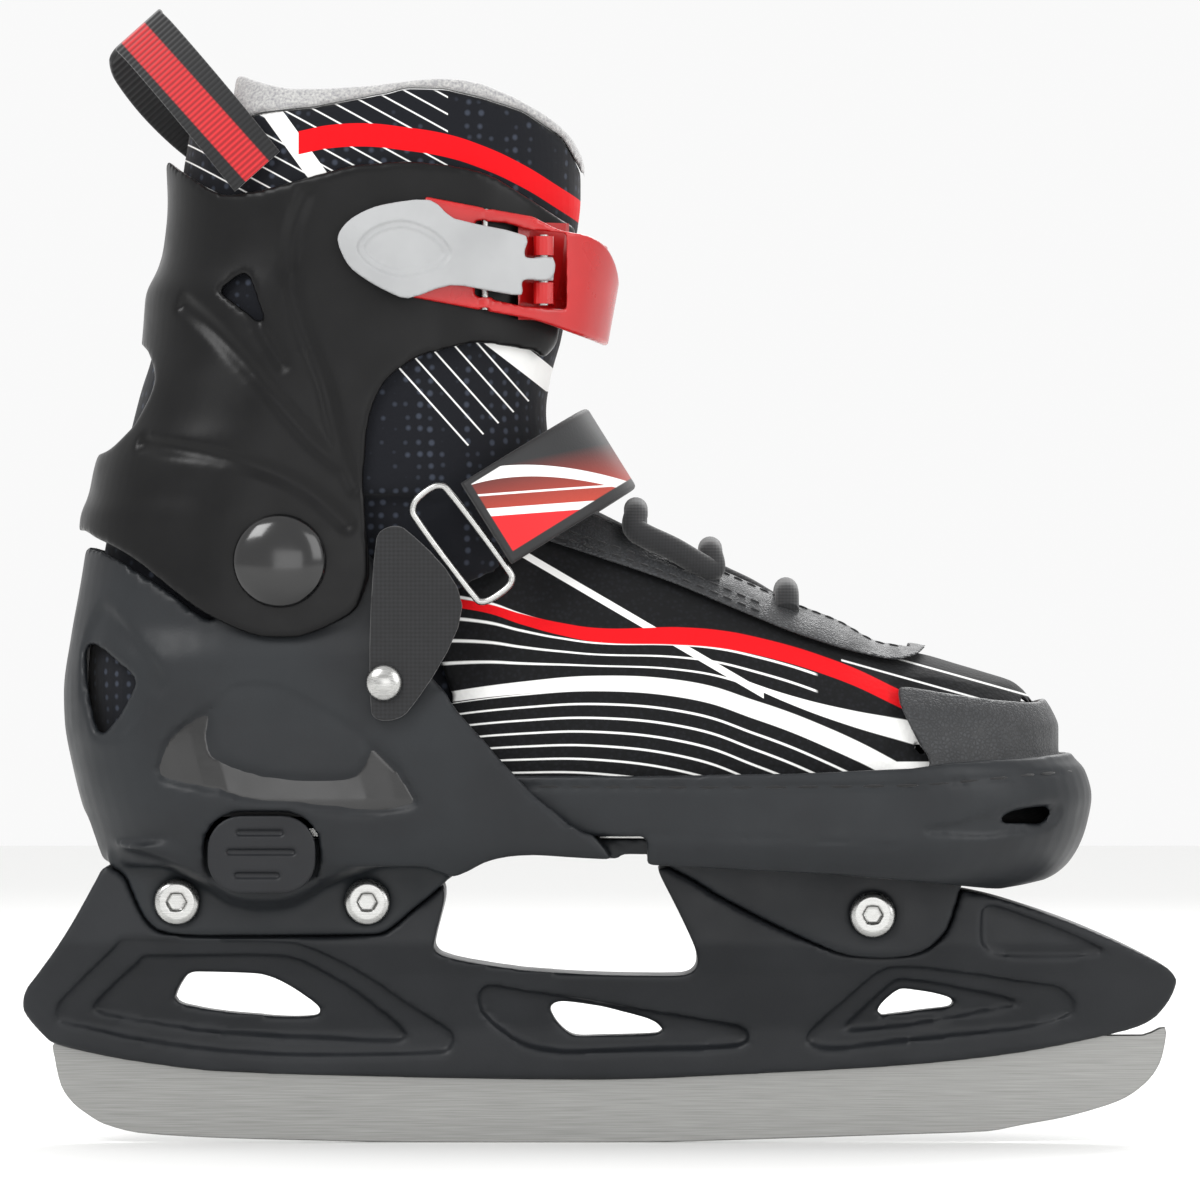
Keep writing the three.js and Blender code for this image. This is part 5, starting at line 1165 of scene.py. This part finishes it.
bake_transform(liner)

COLLAR_TOP = [[-107, 266.5], [-96.2, 263.5], [-94, 276.5], [-90, 275.4], [-80, 272.5], [-60, 273], [-42.4, 275],
              [-30, 273.6], [-15, 266.7], [-7.2, 260.4], [-3.6, 253.3], [-2, 249], [30, 249], [30, 200], [-107, 200]]
collar = cut(shaft_solid("collar", 240, 282, 1), shaft_solid("inside", 239, 284, -LINER_WALL - 1))
keep(collar, across([[-100, 258], [-100, 290], [20, 290], [20, 243], [-4, 249.4]]), curved(COLLAR_TOP, 2))
cut(collar, across(grown(SEAM, 0.3)))
collar = piece(soften(largest(collar), 0.8, 10, 0.7), "collar_fine", grey_fleece, "cuff", "collar", slot="fleece")

# ---- instep strap, ring, keeper and pull loop ----------------------------------------------------
KEEPER_INNER, KEEPER_THICK = boot_side(-44, 112, SHELL_OFFSET) + FIT, 2.6
KEEPER = [[-58.5, 112], [-49.5, 112], [-35.2, 139.4], [-50.2, 159.4], [-57.2, 157]]
keeper = curved(KEEPER, 5, -KEEPER_INNER - KEEPER_THICK, -KEEPER_INNER)
piece(soften(keeper, 0.5, 3), "keeper_strap_fine", keeper_tape, "root", "keeper_strap", slot="fleece")
RING = [[-47.6, 162.6], [-31.4, 141], [-28.4, 141], [-23.4, 144.6], [-22.8, 147.6], [-39.4, 169.6], [-42.6, 170],
        [-47.2, 166.4]]
piece(tube("ring", [(x, -KEEPER_INNER - 1.3, z) for x, z in RING], 0.9, 14, True, 6), "strap_ring_fine", steel, "root",
      "strap_ring", slot="steel")
# each rivet: its body, place, side, how far out its head sits and how far its shank reaches back
RIVETS = (("keeper_rivet", "root", -55.3, 119.8, -1, KEEPER_INNER + 2.9, 6),
          ("strap_rivet", "root", -56, 136.5, 1, 42.1, 8),
          ("ladder_rivet", "cuff", -46, 231.3, 1, 40.8, 5))
for name, body, x, z, s, out, back in RIVETS:
    profile = [[0, s * (out - back)], [2, s * (out - back)], [2, s * out]]
    profile += [[4.6 * math.cos(a), s * (out + 0.3 + 2 * math.sin(a))] for a in np.linspace(0, math.pi / 2, 10)]
    piece(shade(lathe(name, x, z, profile, 48)), f"{name}_fine", steel, body, name, slot="steel")



def strap_z(x):
    """Height of the instep strap's middle line."""
    return 161.2 + (x + 28) * 0.53 / 0.85


half_strap = [(-29, 41.2), (-18, 38), (-7, 30), (0, 17.5), (2, 0)]
strap_path = [(x, -y, strap_z(x)) for x, y in half_strap] + [(x, y, strap_z(x)) for x, y in half_strap[-2::-1]]
strap_path += [(-42, 41.4, strap_z(-42)), (-57.4, 40.2, strap_z(-57.4))]
instep = sweep("instep", strap_path, flat_section(24.5, 2.6, 1.2), up=(-0.53, 0, 0.85), per=12)
piece(shade(instep), "instep_strap_fine", strap_face, "root", "instep_strap", slot="webbing")

loop_leg = [(-88, 32.6, 251), (-96, 32, 261), (-103, 27, 269.5), (-110, 19, 277.8), (-116.5, 9, 285.3),
            (-119.3, 4, 288.2)]
# the inner leg hangs a little behind the outer one
far_leg = []
for i, (x, y, z) in enumerate(loop_leg):
    sag = math.sin(math.pi * i / len(loop_leg))
    far_leg.append((x - 5 * sag, y, z - 4 * sag))
loop_path = [(x, -y, z) for x, y, z in loop_leg] + [(-119.9, 0, 288.9)] + list(reversed(far_leg))
pull = sweep("pull", loop_path, flat_section(15.5, 1.6, 0.6), up=(0.75, 0, 0.67), per=10)
piece(shade(pull), "pull_loop_fine", loop_tape, "cuff", "pull_loop", slot="webbing")

# ---- buckle --------------------------------------------------------------------------------------
HINGE, HINGE_BORE = (-14.5, -34), 1.5
STRAP_PIN, PIN_BORE, EYE = (-29.5, -36.2), 1.2, 1.8
LEVER_FACE, LEVER_LEAN = -37.9, 0.21
LEVER = [[-67, 233], [-65, 237], [-61, 239.9], [-55.4, 242], [-43.5, 243.3], [-37.4, 238.6], [-18.9, 234.3],
         [-19.3, 228.8], [-12, 228.6], [-12.7, 223.2], [-19.8, 223], [-20.1, 219.2], [-28, 220.1], [-38.4, 221.5],
         [-49, 218.1], [-54.7, 220], [-60.3, 223.2], [-64.4, 226.7]]
lever = plate("lever", smooth_outline(LEVER, 3), LEVER_FACE, -34.9, LEVER_LEAN, HINGE[0])
join(lever, post("knuckle", *HINGE, 2.6, 222.8, 229), post("eye", *STRAP_PIN, EYE, 220.4, 236.4))
dish = smooth_outline([[-62, 231], [-58, 236], [-50, 238], [-42, 235], [-38, 230], [-41, 226], [-50, 223.5],
                       [-58, 226]], 4)
for grow_by, depth in ((0, 0.7), (-1.6, 1.2)):
    cut(lever, plate("dish", grown(dish, grow_by), -60, LEVER_FACE + depth, LEVER_LEAN, HINGE[0]))
cut(lever, post("pin", *HINGE, HINGE_BORE, 0, FAR), post("pin", *STRAP_PIN, PIN_BORE, 0, FAR))
piece(soften(largest(lever), 0.38, 5), "buckle_lever_fine", lever_plastic, "lever", "buckle_lever", slot="lever")


def band_z(x):
    """Height of the buckle band's middle line."""
    return 228.3 - 0.183 * (x + 29.5)


BAND = [(-47, -39.6), (-29.5, -36.3), (-14.5, -33.3), (-5, -27.2), (0, -20), (2.6, -12), (3.2, -5)]
BAND_GAP = [[-32.1, 219], [-32.1, 238.2], [-24, 237.6], [-18, 235.9], [-8.6, 235.2], [-8.6, 215.6], [-20, 216.4]]
UP = (0.18, 0, 0.983)
BAND_DROP = 2.5  # the front of the band hangs a little lower
band_path = [(x, y, band_z(x) - BAND_DROP * min(max((x + 14.5) / 17, 0), 1)) for x, y in BAND]
band = sweep("band", band_path, flat_section(26, 2.4, 0.8), up=UP, per=10)
cut(band, across(BAND_GAP, -FAR, 0))
BAND_EDGE = [[-60, 200], [-60, 260], [-40, 252], [-12, 236.6], [-3, 234.6], [1.4, 232], [4, 227.5], [5, 222],
             [5, 212], [3.6, 207.6], [0, 204.5], [-8, 203]]
keep(band, curved(BAND_EDGE, 4))
for i in range(5):
    cut(band, post("rib", 5.2, -3.4 - 2.3 * i, 0.55, 200, 240, 12))
for z in ((215.6, 218.8), (238.2, 241)):
    join(band, post("eye", *STRAP_PIN, EYE, *z))
cut(band, post("pin", *STRAP_PIN, PIN_BORE, 0, FAR))
piece(soften(largest(band), 0.5, 3), "buckle_band_fine", red_plastic, "band", "buckle_strap", slot="red")

LADDER = [(-2.4, -16), (-0.9, -9), (-0.6, 0), (-1.4, 9), (-8, 23), (-18, 31.8), (-32, 38.4), (-50, 39.8)]
ladder_path = [(x, y, band_z(x)) for x, y in LADDER]
ladder = sweep("ladder", ladder_path, flat_section(20, 1.8, 0.6), up=UP, per=10)
piece(shade(ladder), "ladder_strap_fine", red_plastic, "cuff", "ladder_strap", slot="red")

# ---- finishes of the frame's own pieces that stay in view ------------------------------------------
for node, finish in (("size_rack", steel), ("button_spring", steel), ("footbed", grey_fleece),
                     ("buckle_base", red_plastic), ("lever_pin", steel), ("strap_pin", steel)):
    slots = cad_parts[node].data.materials
    slots.clear()
    slots.append(finish)
